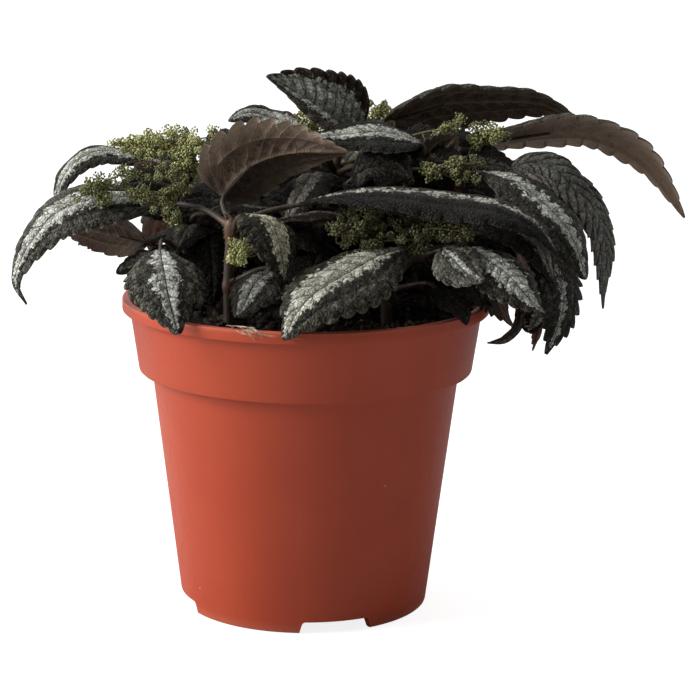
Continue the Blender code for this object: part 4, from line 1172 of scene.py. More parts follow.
            118, [(40, 33, 121)],
            [(50, 38, 121), (64, 45, 117), (75, 51, 105), (78, 53, 92)],
            (0.1, 0, 1), 21, 6),
    },
    "stem_back": {
        "back_long": leaf(
            132, [(4, 46, 137)],
            [(8, 52, 139), (14, 66, 140), (20, 80, 130), (22, 88, 113)],
            (0, 0.1, 1), 25, 7),
        "back_top": leaf(
            133, [(-3, 44, 140)],
            [(-8, 50, 143), (-18, 60, 145), (-28, 69, 138), (-33, 74, 126)],
            (0, 0.1, 1), 25, 7),
        "back_middle_right": leaf(
            123, [(11, 38, 128)],
            [(17, 42, 130), (30, 52, 131), (40, 62, 124), (45, 67, 111)],
            (0, 0.1, 1), 21, 6),
        "back_middle_left": leaf(
            121, [(-7, 43, 126)],
            [(-12, 47, 127), (-20, 58, 126), (-27, 67, 117), (-30, 71, 103)],
            (0, 0.1, 1), 21, 6),
        "back_low": leaf(
            112, [(-2, 46, 115)],
            [(-4, 54, 115), (-6, 66, 112), (-8, 73, 101), (-8, 74, 88)],
            (0, 0, 1), 20, 5),
    },
    "stem_back_left": {
        "back_left": leaf(
            128, [(-38, 28, 133)],
            [(-45, 31, 134), (-60, 37, 134), (-74, 43, 125), (-80, 46, 110)],
            (0, 0, 1), 25, 7),
        "back_left_rear": leaf(
            124, [(-35, 36, 127)],
            [(-38, 43, 128), (-46, 56, 127), (-54, 67, 117), (-57, 71, 103)],
            (0, 0, 1), 21, 5),
        "back_left_low": leaf(
            108, [(-36, 32, 110)],
            [(-41, 37, 110), (-50, 46, 109), (-57, 53, 101), (-58, 54, 90)],
            (0, 0, 1), 20, 6),
        "inner_back_left": insideLeaf(
            121, [(-27, 24, 125)],
            [(-24, 24, 126), (-16, 26, 130), (-6, 27, 130), (1, 27, 125)],
            (0, 0.1, 1), 19, 5),
        "left_rising": insideLeaf(
            127, [(-32, 21, 134)],
            [(-31, 19, 137), (-29, 15, 144), (-26, 12, 150), (-23, 10, 156)],
            (-0.2, -0.8, 0.3), 18, 5),
        "left_inner": insideLeaf(
            118, [(-36, 20, 123)],
            [(-40, 18, 125), (-49, 15, 130), (-58, 14, 132), (-68, 14, 128)],
            (0, -0.3, 0.95), 20, 5),
        "behind_upper": insideLeaf(
            124, [(-34, 16, 135)],
            [(-35.5, 12, 138.5), (-42.5, 11, 143.5), (-51, 10, 146), (-60, 8, 145)],
            (0, -0.8, 0.6), 17, 6, silver=0.3, band=0.3, freckle=0.2, shade=0.5),
    },
}


blades = {
    "teethShare": 1.4,  # fine teeth for each tooth of the table
    "fewestTeeth": 6,
    "toothDepth": 0.055,
    "toothLean": (0.05, 0.13),  # of round lobes, of pointed teeth
    "toothPeak": 0.8,  # where along a pointed tooth its tip is
    "toothless": (0.03, 0.14),  # teeth grow over this part of the length
    "ends": (0.006, 0.996),
    "thickness": 0.45,
    "quiltHeight": 0.52,
    "ripples": (2.2, 3.6),  # waves along the margin
    "slowWave": (0.5, 1.4),  # height, waves along the leaf
    "darkFade": 0.17,  # over which the painted shade of one half begins
    "toothSteps": [0, 0.14, 0.34, 0.54, 0.74, 0.89],
    "acrossSteps": [0, 0.035, 0.09, 0.17, 0.26, 0.36, 0.45, 0.52, 0.59, 0.68, 0.78, 0.88, 0.95, 1],
    "plainToothSteps": [0, 0.25, 0.5, 0.75],
    "plainAcrossSteps": [0, 0.06, 0.2, 0.36, 0.52, 0.7, 0.88, 1],
}


def halfWidth(part, widest, taper):
    # the outline without teeth, as a share of the greatest half width
    rootRound = taper * widest / (1 - widest)
    return (part / widest) ** rootRound * ((1 - part) / (1 - widest)) ** taper


class Blade:
    # a leaf's curved middle surface, read at any part of its length and width
    def __init__(self, row):
        self.curve = smoothCurve(row["rib"]) * mm
        self.tangents, self.normals = carriedFrame(self.curve, row["face"])
        steps = np.linalg.norm(np.diff(self.curve, axis=0), axis=1)
        self.length = steps.sum()
        self.parts = np.concatenate([[0], np.cumsum(steps)]) / self.length
        self.half, self.widest, self.taper = row["width"] * mm / 2, row["widest"], row["taper"]
        self.lift, self.curl = math.radians(row["lift"]), math.radians(row["curl"])

    def read(self, values, part):
        return np.stack([np.interp(part, self.parts, values[:, k]) for k in range(3)], axis=-1)

    def at(self, part, across, reach=1.0):
        part, across = np.asarray(part, float), np.asarray(across, float)
        normal, tangent = unit(self.read(self.normals, part)), unit(self.read(self.tangents, part))
        side = np.cross(tangent, normal)
        size = self.half * halfWidth(part, self.widest, self.taper) * reach
        sign, slope = np.sign(across), self.lift + self.curl * np.abs(across)
        out = sign * size * (np.sin(slope) - math.sin(self.lift)) / self.curl
        up = size * (math.cos(self.lift) - np.cos(slope)) / self.curl
        point = self.read(self.curve, part) + side * out[..., None] + normal * up[..., None]
        facing = unit(normal * np.cos(slope)[..., None] - side * (sign * np.sin(slope))[..., None])
        return point, facing, tangent, size


def closedSheet(top, under):
    # a thin solid between two grids of points: its points, faces and slots, 1 for the under side
    rows, columns = top.shape[:2]
    count = rows * columns
    index = np.arange(count).reshape(rows, columns)
    quads = np.stack([index[:-1, :-1], index[:-1, 1:], index[1:, 1:], index[1:, :-1]], axis=-1)
    quads = quads.reshape(-1, 4)
    loop = np.concatenate([index[0, :-1], index[:-1, -1], index[-1, :0:-1], index[:0:-1, 0]])
    after = np.roll(loop, -1)
    rim = np.stack([after, loop, loop + count, after + count], axis=-1)
    faces = np.concatenate([quads, quads[:, ::-1] + count, rim])
    slots = [0] * len(quads) + [1] * len(quads) + [0] * len(rim)
    points = np.concatenate([top.reshape(-1, 3), under.reshape(-1, 3)])
    return points, faces.tolist(), slots


def leafGrid(row, teeth):
    # shares of the length and of the half width at which a blade has points
    toothSteps = blades["plainToothSteps" if row["plain"] else "toothSteps"]
    steps = np.array(blades["plainAcrossSteps" if row["plain"] else "acrossSteps"])
    part = np.array([(k + step) / teeth for k in range(teeth) for step in toothSteps] + [1])
    across = np.concatenate([-steps[:0:-1], steps])
    return np.meshgrid(np.clip(part, *blades["ends"]), across, indexing="ij")


def toothShape(row, teeth, part, out):
    # how high each point stands on its tooth, and how far the teeth have grown there
    turn, peak = np.mod(part * teeth, 1), blades["toothPeak"]
    lobe = np.sin(math.pi * turn ** 1.35) ** 0.6  # round, with sharp notches
    spike = np.where(turn < peak, turn / peak, (1 - turn) / (1 - peak))
    grown = smoothStep(part, *blades["toothless"]) * smoothStep(out, 0.55, 1)
    return lobe + (spike - lobe) * row["sharp"], grown


def leafRises(row, teeth, part, across, wide, draw):
    # how far the two sides stand off the middle surface, in millimetres
    out = np.abs(across)
    ridge = np.sin(math.pi * np.mod(part * teeth + veins["sweep"] * (1 - out), 1)) ** 0.7
    middle = veins["sideAt"] * smoothStep(part, 0, 0.16)
    inner = np.sin(math.pi * np.clip(out / np.maximum(middle, 0.01), 0, 1)) ** 0.6
    outer = np.sin(math.pi * np.clip((out - middle) / (1 - middle) * 0.94, 0, 1)) ** 0.6
    swell = row["quilt"] * blades["quiltHeight"] * np.clip(wide / 11, 0.12, 1.15)
    swell = swell * ridge * np.where(out < middle, inner, outer)
    start, waves = draw.uniform(0, 1), draw.uniform(*blades["ripples"])
    ripple = np.sin(2 * math.pi * (part * waves + start + 0.27 * np.sign(across)))
    ripple = row["flute"] * ripple * smoothStep(out, 0.35, 1) * np.clip(wide / 6, 0, 1)
    height, waves = blades["slowWave"]
    slow = height * np.sin(2 * math.pi * (part * waves + start)) * smoothStep(part, 0.1, 0.4)
    base = swell + ripple + slow
    thick = blades["thickness"] / 2 * (1 - 0.45 * smoothStep(out, 0.8, 1))
    fade = 1 - smoothStep(part, 0.8, 1)

    def ribs(midWidth, sideWidth, midDepth, sideDepth):
        midrib = np.exp(-(out * wide / midWidth) ** 2)
        return midDepth * midrib + sideDepth * np.exp(-((out - middle) * wide / sideWidth) ** 2)

    rungs = 0.13 * np.clip(1 - ridge / 0.55, 0, 1) * np.clip(wide / 6, 0, 1)
    topRise = base + thick - ribs(0.5, 0.35, 0.3, 0.16) * fade
    underRise = base - 0.2 * swell - thick - ribs(0.62, 0.42, 0.55, 0.28) * (0.25 + 0.75 * fade) - rungs
    return topRise, underRise


def leafReads(row, teeth, part, across, wide, length, seed):
    # what the materials read at each point, first those of the upper side
    place = np.stack([part, across, np.full_like(part, teeth)], axis=-1).reshape(-1, 3)
    flat = np.stack([part * length / mm, across * wide, np.full_like(part, seed)], axis=-1).reshape(-1, 3)
    count, half = len(place), row["darkHalf"]
    tone = np.array([[row["silver"], row["band"], row["freckle"], row["wine"]]] * count)
    tone[:, 1] += row["lean"] * np.sign(across).reshape(-1)
    underTone = [[row["pale"], row["fluted"], row["net"], row["wine"]]] * count
    # painted shade on one half of the leaf, added to its shade
    dim = smoothStep(across * np.sign(half or 1), row["darkFrom"], row["darkFrom"] + blades["darkFade"])
    shade = np.clip(row["shade"] + abs(half) * dim, 0, 1).reshape(-1, 1)
    fromEdge = np.full((count, 2), (row["edge"], row["warm"]))
    mood = np.hstack([fromEdge, shade, np.full((count, 1), row["rungs"])])
    return {"leafPlace": np.vstack([place, place]), "leafFlat": np.vstack([flat, flat]),
            "leafTone": np.vstack([tone, underTone]), "leafMood": np.vstack([mood, mood])}


def growLeaf(growth, row, draw):
    blade = Blade(row)
    teeth = max(blades["fewestTeeth"], round(row["teeth"] * blades["teethShare"]))
    part, across = leafGrid(row, teeth)
    tooth, grown = toothShape(row, teeth, part, np.abs(across))
    lobed = row["lobed"] * (1 + row["lopsided"] * np.sign(across))
    reach = 1 + blades["toothDepth"] * lobed * (2 * tooth - 1) * grown
    point, facing, tangent, size = blade.at(part, across, reach)
    leanOfLobe, leanOfSpike = blades["toothLean"]
    lean = leanOfLobe + (leanOfSpike - leanOfLobe) * row["sharp"]
    point = point + tangent * (blade.half * lean * tooth * grown)[..., None]
    wide = size / mm
    top, under = (point + facing * (rise * mm)[..., None]
                  for rise in leafRises(row, teeth, part, across, wide, draw))
    reads = leafReads(row, teeth, part, across, wide, blade.length, draw.uniform(0, 900))
    growth.add(*closedSheet(top, under), **reads)


# stems, petioles, stipules and hairs

stalks = {
    "stemRadii": (1.8, 1.4), "stemFoot": 70, "straight": (98, 104), "stemRings": 44, "stemSides": 14,
    "petioleRadii": (1.05, 0.45), "petioleRings": 18, "petioleSides": 10, "sink": (0.78, 0.62),
    "swelling": 0.28, "swellingReach": 1.7, "thickest": 1.35,
    "hairLength": (0.35, 0.9), "hairRadius": 0.04, "hairLean": 0.6,
    "hairsPerPetiole": 46, "hairsPerStem": 170,
    "stipules": 2, "stipuleHeight": (2.6, 4.0), "stipuleWidth": (0.9, 1.5), "stipuleSwing": 0.9,
    "stipuleThickness": 0.1,
}


def stemCurveOf(stem):
    return smoothCurve([(*stem["foot"], z) for z in stalks["straight"]] + stem["bends"]) * mm


def stemPlace(curve, height):
    return curve[np.abs(curve[:, 2] - height * mm).argmin()]


def growHairs(hairs, route, radii, count, draw):
    tangents, normals = carriedFrame(route, (0.3, 0.8, 0.52))
    sides = np.cross(tangents, normals)
    for _ in range(count):
        k = draw.uniform(0, len(route) - 1.001)
        low, share = int(k), k % 1
        angle = draw.uniform(0, 2 * math.pi)
        way = normals[low] * math.cos(angle) + sides[low] * math.sin(angle)
        centre = route[low] * (1 - share) + route[low + 1] * share
        root = centre + way * (radii[low] * (1 - share) + radii[low + 1] * share) * 0.97
        lean = unit(way + tangents[low] * draw.uniform(-stalks["hairLean"], stalks["hairLean"]))
        tip = root + lean * draw.uniform(*stalks["hairLength"]) * mm
        a = unit(np.cross(lean, (0.2, 0.3, 0.9))) * stalks["hairRadius"] * mm
        b = np.cross(lean, a)
        hairs.add([root + a, root - 0.5 * a + 0.87 * b, root - 0.5 * a - 0.87 * b, tip],
                  [(0, 1, 3), (1, 2, 3), (2, 0, 3), (2, 1, 0)])


def growPetiole(growth, hairs, row, stemCurve, draw):
    blade = Blade(row)
    under = [blade.at(part, 0)[0] - blade.at(part, 0)[1] * sink * mm
             for part, sink in zip((0.02, 0.3), stalks["sink"])]
    bends = [np.array(p, float) * mm for p in row["petiole"]]
    foot = stemPlace(stemCurve, row["height"])
    route = evenly(smoothCurve([foot, *bends, *under]), stalks["petioleRings"])
    share = np.linspace(0, 1, len(route))
    thick, thin = stalks["petioleRadii"]
    radii = (thick + (thin - thick) * share) * (1 + 0.5 * np.exp(-(share / 0.1) ** 2)) * mm
    rust = np.repeat(np.exp(-(share / 0.12) ** 2), stalks["petioleSides"])
    growth.add(*tube(route, radii, stalks["petioleSides"]), nodeRust=rust * 0.7)
    growHairs(hairs, route, radii, stalks["hairsPerPetiole"], draw)


def growStipule(growth, place, outward, draw):
    # a small papery scale beside the foot of a petiole
    tall, wide = draw.uniform(*stalks["stipuleHeight"]) * mm, draw.uniform(*stalks["stipuleWidth"]) * mm
    up = unit(np.array([0, 0, 1.0]) + outward * draw.uniform(0.2, 0.7))
    side = unit(np.cross(up, outward))
    facing = np.cross(side, up)
    part, across = np.meshgrid(np.linspace(0, 1, 9), np.linspace(-1, 1, 5), indexing="ij")
    half = wide * np.sin(math.pi * (0.15 + 0.85 * part)) ** 0.7 + 0.1 * mm
    frill = 0.25 * mm * np.sin(part * 9 + across * 3 + draw.uniform(0, 6)) * part
    sheet = place + outward * 1.5 * mm + up * (part * tall)[..., None] + side * (across * half)[..., None]
    sheet = sheet + facing * (frill - 0.5 * half * across ** 2)[..., None]
    thick = facing * stalks["stipuleThickness"] / 2 * mm
    points, faces, _ = closedSheet(sheet + thick, sheet - thick)
    growth.add(points, faces, 1, nodeRust=draw.uniform(0, 1))


def growStem(growth, hairs, stem, rows, draw):
    curve = stemCurveOf(stem)
    root = np.array((*stem["foot"], stalks["stemFoot"])) * mm
    route = np.vstack([[root], evenly(curve, stalks["stemRings"])])
    foot, tip = stalks["stemRadii"]
    radii = foot + (tip - foot) * np.linspace(0, 1, len(route))
    rust = np.zeros(len(route))
    for row in rows:
        near = (route[:, 2] / mm - row["height"]) / stalks["swellingReach"]
        radii = radii * (1 + stalks["swelling"] * np.exp(-near ** 2))
        rust = np.maximum(rust, np.exp(-(near * 0.8) ** 2))
        place = stemPlace(curve, row["height"])
        x, y, _ = np.array(row["petiole"][0], float) * mm - place
        for _ in range(stalks["stipules"]):
            turn = draw.uniform(-stalks["stipuleSwing"], stalks["stipuleSwing"])
            cos, sin = math.cos(turn), math.sin(turn)
            growStipule(growth, place, unit(np.array([x * cos - y * sin, x * sin + y * cos, 0])), draw)
    radii = np.minimum(radii, foot * stalks["thickest"]) * mm
    growth.add(*tube(route, radii, stalks["stemSides"]), nodeRust=np.repeat(rust, stalks["stemSides"]))
    growHairs(hairs, route[1:], radii[1:], stalks["hairsPerStem"], draw)


def treeOf(name):
    body = bmesh.new()
    body.from_mesh(bpy.data.objects[name].data)
    tree = BVHTree.FromBMesh(body)
    body.free()
    return tree


# leaves that grow in opposite pairs inside the plant, between those of the table
innerLeaves = {
    "lowest": 105, "step": 4.6, "belowTip": 3, "swing": 0.9, "tries": 30, "clear": 0.5, "apart": 1.2,
    "length": (25, 40), "width": (14, 20), "petiole": (5, 15), "teeth": (5, 6),
    "rise": (1, 9), "arch": (0, 4), "droop": (2, 18), "bend": (-4, 4), "tilt": (-0.5, 0.5),
    "looks": {
        "silver": (0.3, 0.8), "band": (0.25, 0.45), "freckle": (0, 0.3), "shade": (0.6, 1),
        "wine": (0, 0.3),
    },
    "reach": 58, "top": 146, "front": -23,
    "clearing": (-38, -13), "clearingFront": -6,  # nothing hides the front left stem
    "floor": 101, "floorByRim": 108, "rimFrom": 46,
}


def innerRow(place, height, heading, draw):
    ahead = np.array([math.cos(heading), math.sin(heading), 0])
    up = np.array([0, 0, 1.0])
    side = np.cross(up, ahead)
    drawn = ("petiole", "length", "rise", "arch", "droop", "bend", "tilt")
    stalk, length, rise, arch, droop, bend, tilt = (draw.uniform(*innerLeaves[key]) for key in drawn)
    start, bend = place + ahead * stalk + up * rise, side * bend
    rib = [start, start + ahead * length * 0.3 + up * arch + bend * 0.4,
           start + ahead * length * 0.65 + up * (arch - droop * 0.35) + bend * 0.8,
           start + ahead * length * 0.94 + up * (arch - droop) + bend]
    petiole = [place + ahead * stalk * 0.5 + up * rise * 0.8]
    width, teeth = draw.uniform(*innerLeaves["width"]), draw.choice(innerLeaves["teeth"])
    look = {key: draw.uniform(*ends) for key, ends in innerLeaves["looks"].items()}
    return leaf(height, petiole, rib, up - ahead * 0.2 + side * tilt, width, teeth, plain=True, **look)


def innerRoom(row, trees, others):
    # how far a leaf keeps from all that has grown so far, or nothing if it leaves the plant's inside
    x, y, z = np.array(row["rib"]).T
    out = np.hypot(x, y)
    low, high = innerLeaves["clearing"]
    front = np.where((x > low) & (x < high), innerLeaves["clearingFront"], innerLeaves["front"])
    floor = np.where(out > innerLeaves["rimFrom"], innerLeaves["floorByRim"], innerLeaves["floor"])
    outside = out.max() > innerLeaves["reach"] or z.max() > innerLeaves["top"]
    if outside or (y < front).any() or (z < floor).any():
        return 0, None
    part, across = np.meshgrid((0.2, 0.4, 0.6, 0.8, 0.97), (-0.9, -0.45, 0, 0.45, 0.9), indexing="ij")
    points = Blade(row).at(part, across)[0].reshape(-1, 3)
    room = min(tree.find_nearest(Vector(p))[3] for tree in trees for p in points)
    if others:
        gaps = np.linalg.norm(points[:, None] - np.vstack(others)[None], axis=2)
        room = min(room, gaps.min() - innerLeaves["apart"] * mm)
    return room, points


def makeInnerLeaves(trees):
    draw = random.Random(97)
    rows, others = {name: [] for name in stems}, []
    for name, stem in stems.items():
        curve = stemCurveOf(stem)
        highest = stem["bends"][-1][2] - innerLeaves["belowTip"]
        for k, height in enumerate(np.arange(innerLeaves["lowest"], highest, innerLeaves["step"])):
            place = stemPlace(curve, height) / mm
            for half in (0, math.pi):
                found = []
                for _ in range(innerLeaves["tries"]):
                    swing = draw.uniform(-innerLeaves["swing"], innerLeaves["swing"])
                    row = innerRow(place, height, k * math.pi / 2 + half + swing, draw)
                    found.append((*innerRoom(row, trees, others), row))
                room, points, row = max(found, key=lambda entry: entry[0])
                if room > innerLeaves["clear"] * mm:
                    rows[name].append(row)
                    others.append(points)
    print("inner leaves:", sum(len(found) for found in rows.values()))
    return rows


def makeStems():
    inner = makeInnerLeaves([treeOf(name) for name in stems])
    for seed, (name, stem) in enumerate(stems.items()):
        draw = random.Random(seed + 31)
        leafGrowth = Growth({"leafPlace": 3, "leafFlat": 3, "leafTone": 4, "leafMood": 4})
        stalkGrowth, hairGrowth = Growth({"nodeRust": 1}), Growth({})
        rows = list(leaves[name].values())
        growStem(stalkGrowth, hairGrowth, stem, rows, draw)
        for row in rows + inner[name]:
            growLeaf(leafGrowth, row, draw)
            growPetiole(stalkGrowth, hairGrowth, row, stemCurveOf(stem), draw)
        short = name.replace("stem_", "")
        leafGrowth.finish(short + "_leaves", [leafTop, leafUnder], name, "leaf")
        stalkGrowth.finish(short + "_stalks", [stalkSkin, stipulePaper], name, "leaf")
        hairGrowth.finish(short + "_hairs", [hairFluff], name, "leaf")
    print("stems and leaves grown")


makeStems()


# flowers

flowers = {
    "floretRadius": (0.36, 0.6),
    "beadRadius": (0.27, 0.44),  # of the florets in a head
    "beads": (15, 25),
    "headRadius": (1.0, 1.65),
    "headSpiral": 2.4,  # radians from one floret of a head to the next
    "headSpread": (1.5, 2.1, 1.4),  # how far heads stray from their branch, mm
    "headClear": 1.1,  # of heads from leaves
    "apart": 1.0,  # between florets' middles
    "clear": 0.55,  # of florets from leaves
    "depth": (-1.1, 0.35),  # from the solid's surface
    "offStalk": 1.0,  # nearer to a stalk than this, the solid is no tuft
    "offStem": 1.0,  # a stalk begins this far from its stem's middle
    "tries": 9000,
    "ripe": (0.45, 0.75),  # how yellow a cluster is
    "brownShare": 0.07,
    "stalk": {"radii": (0.6, 0.4), "sides": 8, "tone": (0, 0, 1, 1)},
    "branch": {"radii": (0.4, 0.2), "sides": 6, "tone": (0, 0, 0.9, 1)},
    "twig": {"radii": (0.22, 0.14), "sides": 5, "tone": (0.3, 0, 0.8, 1)},
    "headTwig": {"radii": (0.18, 0.18), "sides": 5, "tone": (0.3, 0, 0.8, 1)},
}

# each cluster: its stem, where its stalk leaves that, the stalk's bends, how lit it is (painted shade on its
# florets below 1), and the distance between heads, in millimetres
clusters = {
    "flowers_left_upper": ("stem_left", 133, [(-39, -7, 145), (-42, -6, 151), (-56, -5, 152)], 1.0, 0.8),
    "flowers_left_lower": ("stem_left", 124, [(-43, -15, 131), (-50, -18, 138), (-67, -18, 139)], 0.5, 0.8),
    "flowers_front_small": ("stem_front_left", 118, [(-21, -32, 121), (-18, -36, 123)], 1.0, 0.8),
    "flowers_centre_front": ("stem_centre_front", 114, [(22, -28, 126), (10, -32, 129)], 0.2, 1.0),
    "flowers_centre_right": ("stem_centre_front", 117, [(37, -31, 129), (48, -36, 130)], 0.15, 1.0),
    "flowers_crown_right": ("stem_centre", 143, [(24, 13, 149), (36, 12, 154), (47, 13, 156)], 0.7, 0.8),
    "flowers_crown_top": ("stem_centre", 148, [(18, 20, 157), (26, 24, 160)], 0.8, 0.8),
    "flowers_right_middle": ("stem_centre", 134, [(26, 0, 143), (42, -4, 145), (56, -4, 147)], 0.45, 1.0),
    "flowers_right_small": ("stem_right", 138, [(54, 14, 150), (60, 14, 154)], 0.8, 0.8),
    "flowers_crown_left": ("stem_centre", 146, [(0, 20, 155), (-5, 22, 159)], 0.8, 0.8),
    "flowers_back": ("stem_back", 130, [(8, 44, 142), (18, 50, 146)], 0.9, 1.15),
    "flowers_back_left": ("stem_back_left", 127, [(-26, 34, 136), (-22, 42, 140)], 0.9, 1.15),
}

# more of each cluster: branches that carry heads of florets, in millimetres
sprays = {
    "flowers_left_upper": [
        [(-62, -6, 152), (-58, -6, 151), (-53, -7, 150), (-50, -6, 153), (-44, -5, 154), (-39, -5, 154),
         (-35, -6, 152), (-30, -3, 153), (-28, 0, 154)],
        [(-54, -9, 150), (-50, -9, 150), (-45, -9, 150), (-40, -9, 151), (-35, -9, 150), (-32, -8, 151)],
        [(-51, -2, 153), (-46, -1, 155), (-41, -1, 154), (-38, -1, 152), (-33, -1, 151)],
        [(-35, -9, 150), (-38, -10, 147), (-40, -11, 144)],
        [(-55, -9, 150), (-53, -10, 147)],
    ],
    "flowers_left_lower": [
        [(-71, -20, 137), (-67, -20, 139), (-64, -19, 141), (-60, -18, 143), (-57, -17, 144),
         (-53, -17, 143)],
        [(-48, -17, 143), (-44, -16, 144), (-42, -18, 141), (-40, -18, 139), (-45, -19, 138),
         (-49, -20, 137)],
        [(-44, -19, 138), (-43, -20, 135), (-40, -21, 132), (-40, -21, 129)],
        [(-38, -15, 139), (-41, -16, 140)],
        [(-56, -18, 140), (-52, -19, 138), (-54, -19, 137)],
    ],
    "flowers_centre_front": [
        [(10, -32, 125), (14, -32, 126), (18, -32, 127), (22, -33, 125), (24, -34, 123)],
        [(12, -28, 130), (17, -28, 131), (20, -29, 129), (23, -31, 127)],
        [(27, -32, 126), (30, -32, 127), (33, -32, 126), (37, -32, 126), (40, -32, 128)],
        [(23, -26, 129), (28, -26, 130), (33, -26, 130), (38, -27, 129)],
        [(10, -22, 130), (14.5, -20, 132.5), (19, -20, 131), (23.5, -22, 129)],
        [(21, -18, 133), (26, -18, 135), (30.5, -20, 134), (35, -22, 132)],
        [(14, -26, 126.5), (18, -25, 127.5), (21, -27, 126)],
    ],
    "flowers_centre_right": [
        [(42, -34, 127), (45, -34, 128), (48, -34, 129), (51, -34, 127), (53, -34, 126)],
        [(41, -30, 130), (45, -30, 129), (49, -34, 127), (51, -35, 124)],
        [(41.5, -24, 127), (45.5, -24, 129), (49.5, -26, 126.5)],
    ],
    "flowers_crown_right": [
        [(37, 12, 149), (40, 12, 151), (42, 12, 153), (43, 12, 155), (46, 13, 157), (50, 13, 158)],
        [(39, 10, 149), (41, 10, 150), (43, 10, 153)],
    ],
    "flowers_crown_top": [
        [(21, 22, 158), (23, 22, 160), (22, 22, 162), (21, 22, 163)],
        [(24, 20, 156), (26, 20, 155)],
    ],
    "flowers_right_middle": [
        [(45, -4, 143), (48, -4, 144), (51, -4, 145), (53, -4, 147), (55, -3, 148)],
        [(47, -5, 142), (52, -5, 143), (56, -5, 142)],
        [(31, -4, 141), (33, -4, 141)],
    ],
    "flowers_right_small": [
        [(54, 14, 154), (57, 14, 155), (60, 14, 155), (63, 14, 154)],
        [(54, 14, 151), (57, 14, 151)],
    ],
    "flowers_crown_left": [
        [(-4, 20, 159), (-3, 20, 160)],
        [(-4, 20, 157), (-2, 20, 157)],
    ],
    "flowers_front_small": [
        [(-19, -34, 125), (-18, -35, 123), (-17, -36, 121)],
        [(-20, -33, 126), (-18, -34, 124)],
    ],
    "flowers_back": [
        [(6, 42, 142), (12, 46, 146), (18, 50, 148), (24, 54, 147)],
        [(12, 46, 146), (11, 51, 148), (8, 55, 148)],
    ],
    "flowers_back_left": [
        [(-27, 33, 136), (-24, 38, 141), (-20, 44, 142), (-17, 50, 141)],
        [(-24, 38, 141), (-29, 42, 142), (-33, 46, 141)],
    ],
}


def floretShapes(count, draw, cuts):
    # knobbly beads with a dimple, to be scaled and turned
    found = []
    for _ in range(count):
        points, faces = ballOf(cuts)
        lobes = draw.choice((3, 4, 5))
        angle = np.arctan2(points[:, 1], points[:, 0])
        flatness = np.hypot(points[:, 0], points[:, 1])
        dimple = 0.35 * np.exp(-(flatness / 0.4) ** 2) * (points[:, 2] > 0)
        size = 1 + 0.16 * np.cos(lobes * angle) * flatness - dimple
        size = size + np.array([draw.uniform(-0.05, 0.05) for _ in points])
        found.append((points * size[:, None] * (1, 1, 0.85), faces))
    return found


def growHead(growth, place, shapes, ripe, draw):
    # a small head: florets spread evenly over a ball
    count, radius = draw.randint(*flowers["beads"]), draw.uniform(*flowers["headRadius"]) * mm
    turn = draw.uniform(0, 6)
    for k in range(count):
        z = 1 - 2 * (k + 0.5) / count
        angle = turn + k * flowers["headSpiral"]
        way = np.array([math.sqrt(1 - z * z) * math.cos(angle), math.sqrt(1 - z * z) * math.sin(angle), z])
        bead = place + way * radius * draw.uniform(0.7, 1.15)
        growFloret(growth, bead, way, shapes["bead"], flowers["beadRadius"], ripe, draw)


def growFloret(growth, place, normal, shapes, sizes, ripe, draw):
    shape, faces = draw.choice(shapes)
    size = draw.uniform(*sizes) * mm
    up = unit(normal + np.array([draw.gauss(0, 0.45) for _ in range(3)]))
    side = unit(np.cross(up, [draw.gauss(0, 1) for _ in range(3)]))
    turn = np.stack([side, np.cross(up, side), up], axis=1)
    yellow = min(1, max(0, draw.gauss(ripe, 0.25)))
    brown = draw.uniform(0.5, 1) if draw.random() < flowers["brownShare"] else draw.uniform(0, 0.15)
    growth.add(shape @ turn.T * size + place, faces, floretTone=[yellow, brown, 0, 1])


def growTwig(growth, kind, route):
    looks = flowers[kind]
    radii = np.linspace(*looks["radii"], len(route)) * mm
    growth.add(*tube(route, radii, looks["sides"]), floretTone=looks["tone"])


def growSprays(growth, name, fine, shapes, trees, ripe, step, draw):
    count = 0
    for route in sprays[name]:
        curve = smoothCurve(route) * mm
        length = np.linalg.norm(np.diff(curve, axis=0), axis=1).sum()
        for place in evenly(curve, max(2, round(length / step / mm))):
            head = place + np.array([draw.gauss(0, spread) for spread in flowers["headSpread"]]) * mm
            if any(tree.find_nearest(Vector(head), flowers["headClear"] * mm)[0] for tree in trees):
                continue
            growHead(growth, head, shapes, min(1, max(0, draw.gauss(ripe, 0.15))), draw)
            growTwig(growth, "headTwig", [place, (place + head) / 2 + (0, 0, -0.0003), head])
            count += 1
        foot = fine[np.linalg.norm(fine - curve[0], axis=1).argmin()]
        growTwig(growth, "branch", evenly(smoothCurve([foot, *evenly(curve, 4)]), 16))
    return count


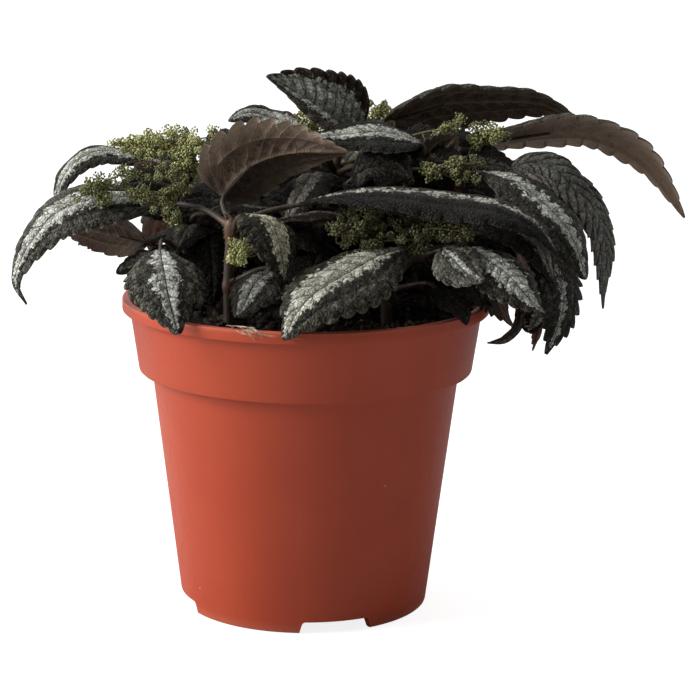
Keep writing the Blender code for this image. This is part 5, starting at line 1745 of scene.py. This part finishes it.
def scatteredPlaces(name, fine, trees, draw):
    # points on the solid's tufts with their normals, clear of each other and of the leaves
    mesh = bpy.data.objects[name].data
    mesh.calc_loop_triangles()
    corners = np.array([[mesh.vertices[i].co for i in t.vertices] for t in mesh.loop_triangles])
    areas = np.linalg.norm(np.cross(corners[:, 1] - corners[:, 0], corners[:, 2] - corners[:, 0]), axis=1)
    off = np.linalg.norm(corners.mean(axis=1)[:, None] - fine[None], axis=2).min(axis=1)
    areas = areas * (off > flowers["offStalk"] * mm)
    chosen = draw.choices(range(len(areas)), weights=areas, k=flowers["tries"])
    places, cells, apart = [], {}, flowers["apart"] * mm
    around = list(itertools.product((-1, 0, 1), repeat=3))
    for index in chosen:
        a, b = sorted((draw.random(), draw.random()))
        corner = corners[index]
        place = corner[0] * a + corner[1] * (b - a) + corner[2] * (1 - b)
        normal = unit(np.cross(corner[1] - corner[0], corner[2] - corner[0]))
        place = place + normal * draw.uniform(*flowers["depth"]) * mm
        x, y, z = cell = tuple(int(c // apart) for c in place)
        near = [p for dx, dy, dz in around for p in cells.get((x + dx, y + dy, z + dz), ())]
        if any(np.linalg.norm(place - p) < apart for p in near):
            continue
        if any(tree.find_nearest(Vector(place), flowers["clear"] * mm)[0] for tree in trees):
            continue
        cells.setdefault(cell, []).append(place)
        places.append((place, normal))
    return places


def growCluster(name, row, seed, shapes, trees):
    stemName, height, route, light, step = row
    draw = random.Random(seed)
    growth = Growth({"floretTone": 4})
    foot = stemPlace(stemCurveOf(stems[stemName]), height)
    curve = smoothCurve([foot, *(np.array(route, float) * mm)])
    fine = evenly(curve, 90)
    places = scatteredPlaces(name, fine, trees, draw)
    ripe = draw.uniform(*flowers["ripe"])
    for place, normal in places:
        growFloret(growth, place, normal, shapes["floret"], flowers["floretRadius"], ripe, draw)
    heads = growSprays(growth, name, fine, shapes, trees, ripe, step, draw)
    trimmed = fine[np.linalg.norm(fine - fine[0], axis=1) > flowers["offStem"] * mm]
    growTwig(growth, "stalk", evenly(trimmed, 26))
    for place, _ in places[::4]:
        near = fine[np.linalg.norm(fine - place, axis=1).argmin()]
        bow = (near + place) / 2 + np.array([draw.uniform(-0.5, 0.5) for _ in range(3)]) * mm
        growTwig(growth, "twig", evenly(smoothCurve([near, bow, place], 5), 5))
    # the cluster's light scales the alpha that sets the florets' painted shade
    growth.layers["floretTone"] = [tone * (1, 1, 1, light) for tone in growth.layers["floretTone"]]
    growth.finish(name.replace("flowers_", "") + "_florets", [floretSkin], name, "flower", angle=80)
    print(name, len(places), "florets and", heads, "heads")
    return len(places)


def makeFlowers():
    draw = random.Random(3)
    shapes = {"floret": floretShapes(7, draw, 2), "bead": floretShapes(7, draw, 1)}
    trees = [treeOf(name) for name in stems]
    count = sum(growCluster(name, row, seed + 71, shapes, trees)
                for seed, (name, row) in enumerate(clusters.items()))
    print("florets:", count)


makeFlowers()

{"cad": [list(c) for c in cadBox], "scene": [list(c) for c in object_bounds()]}
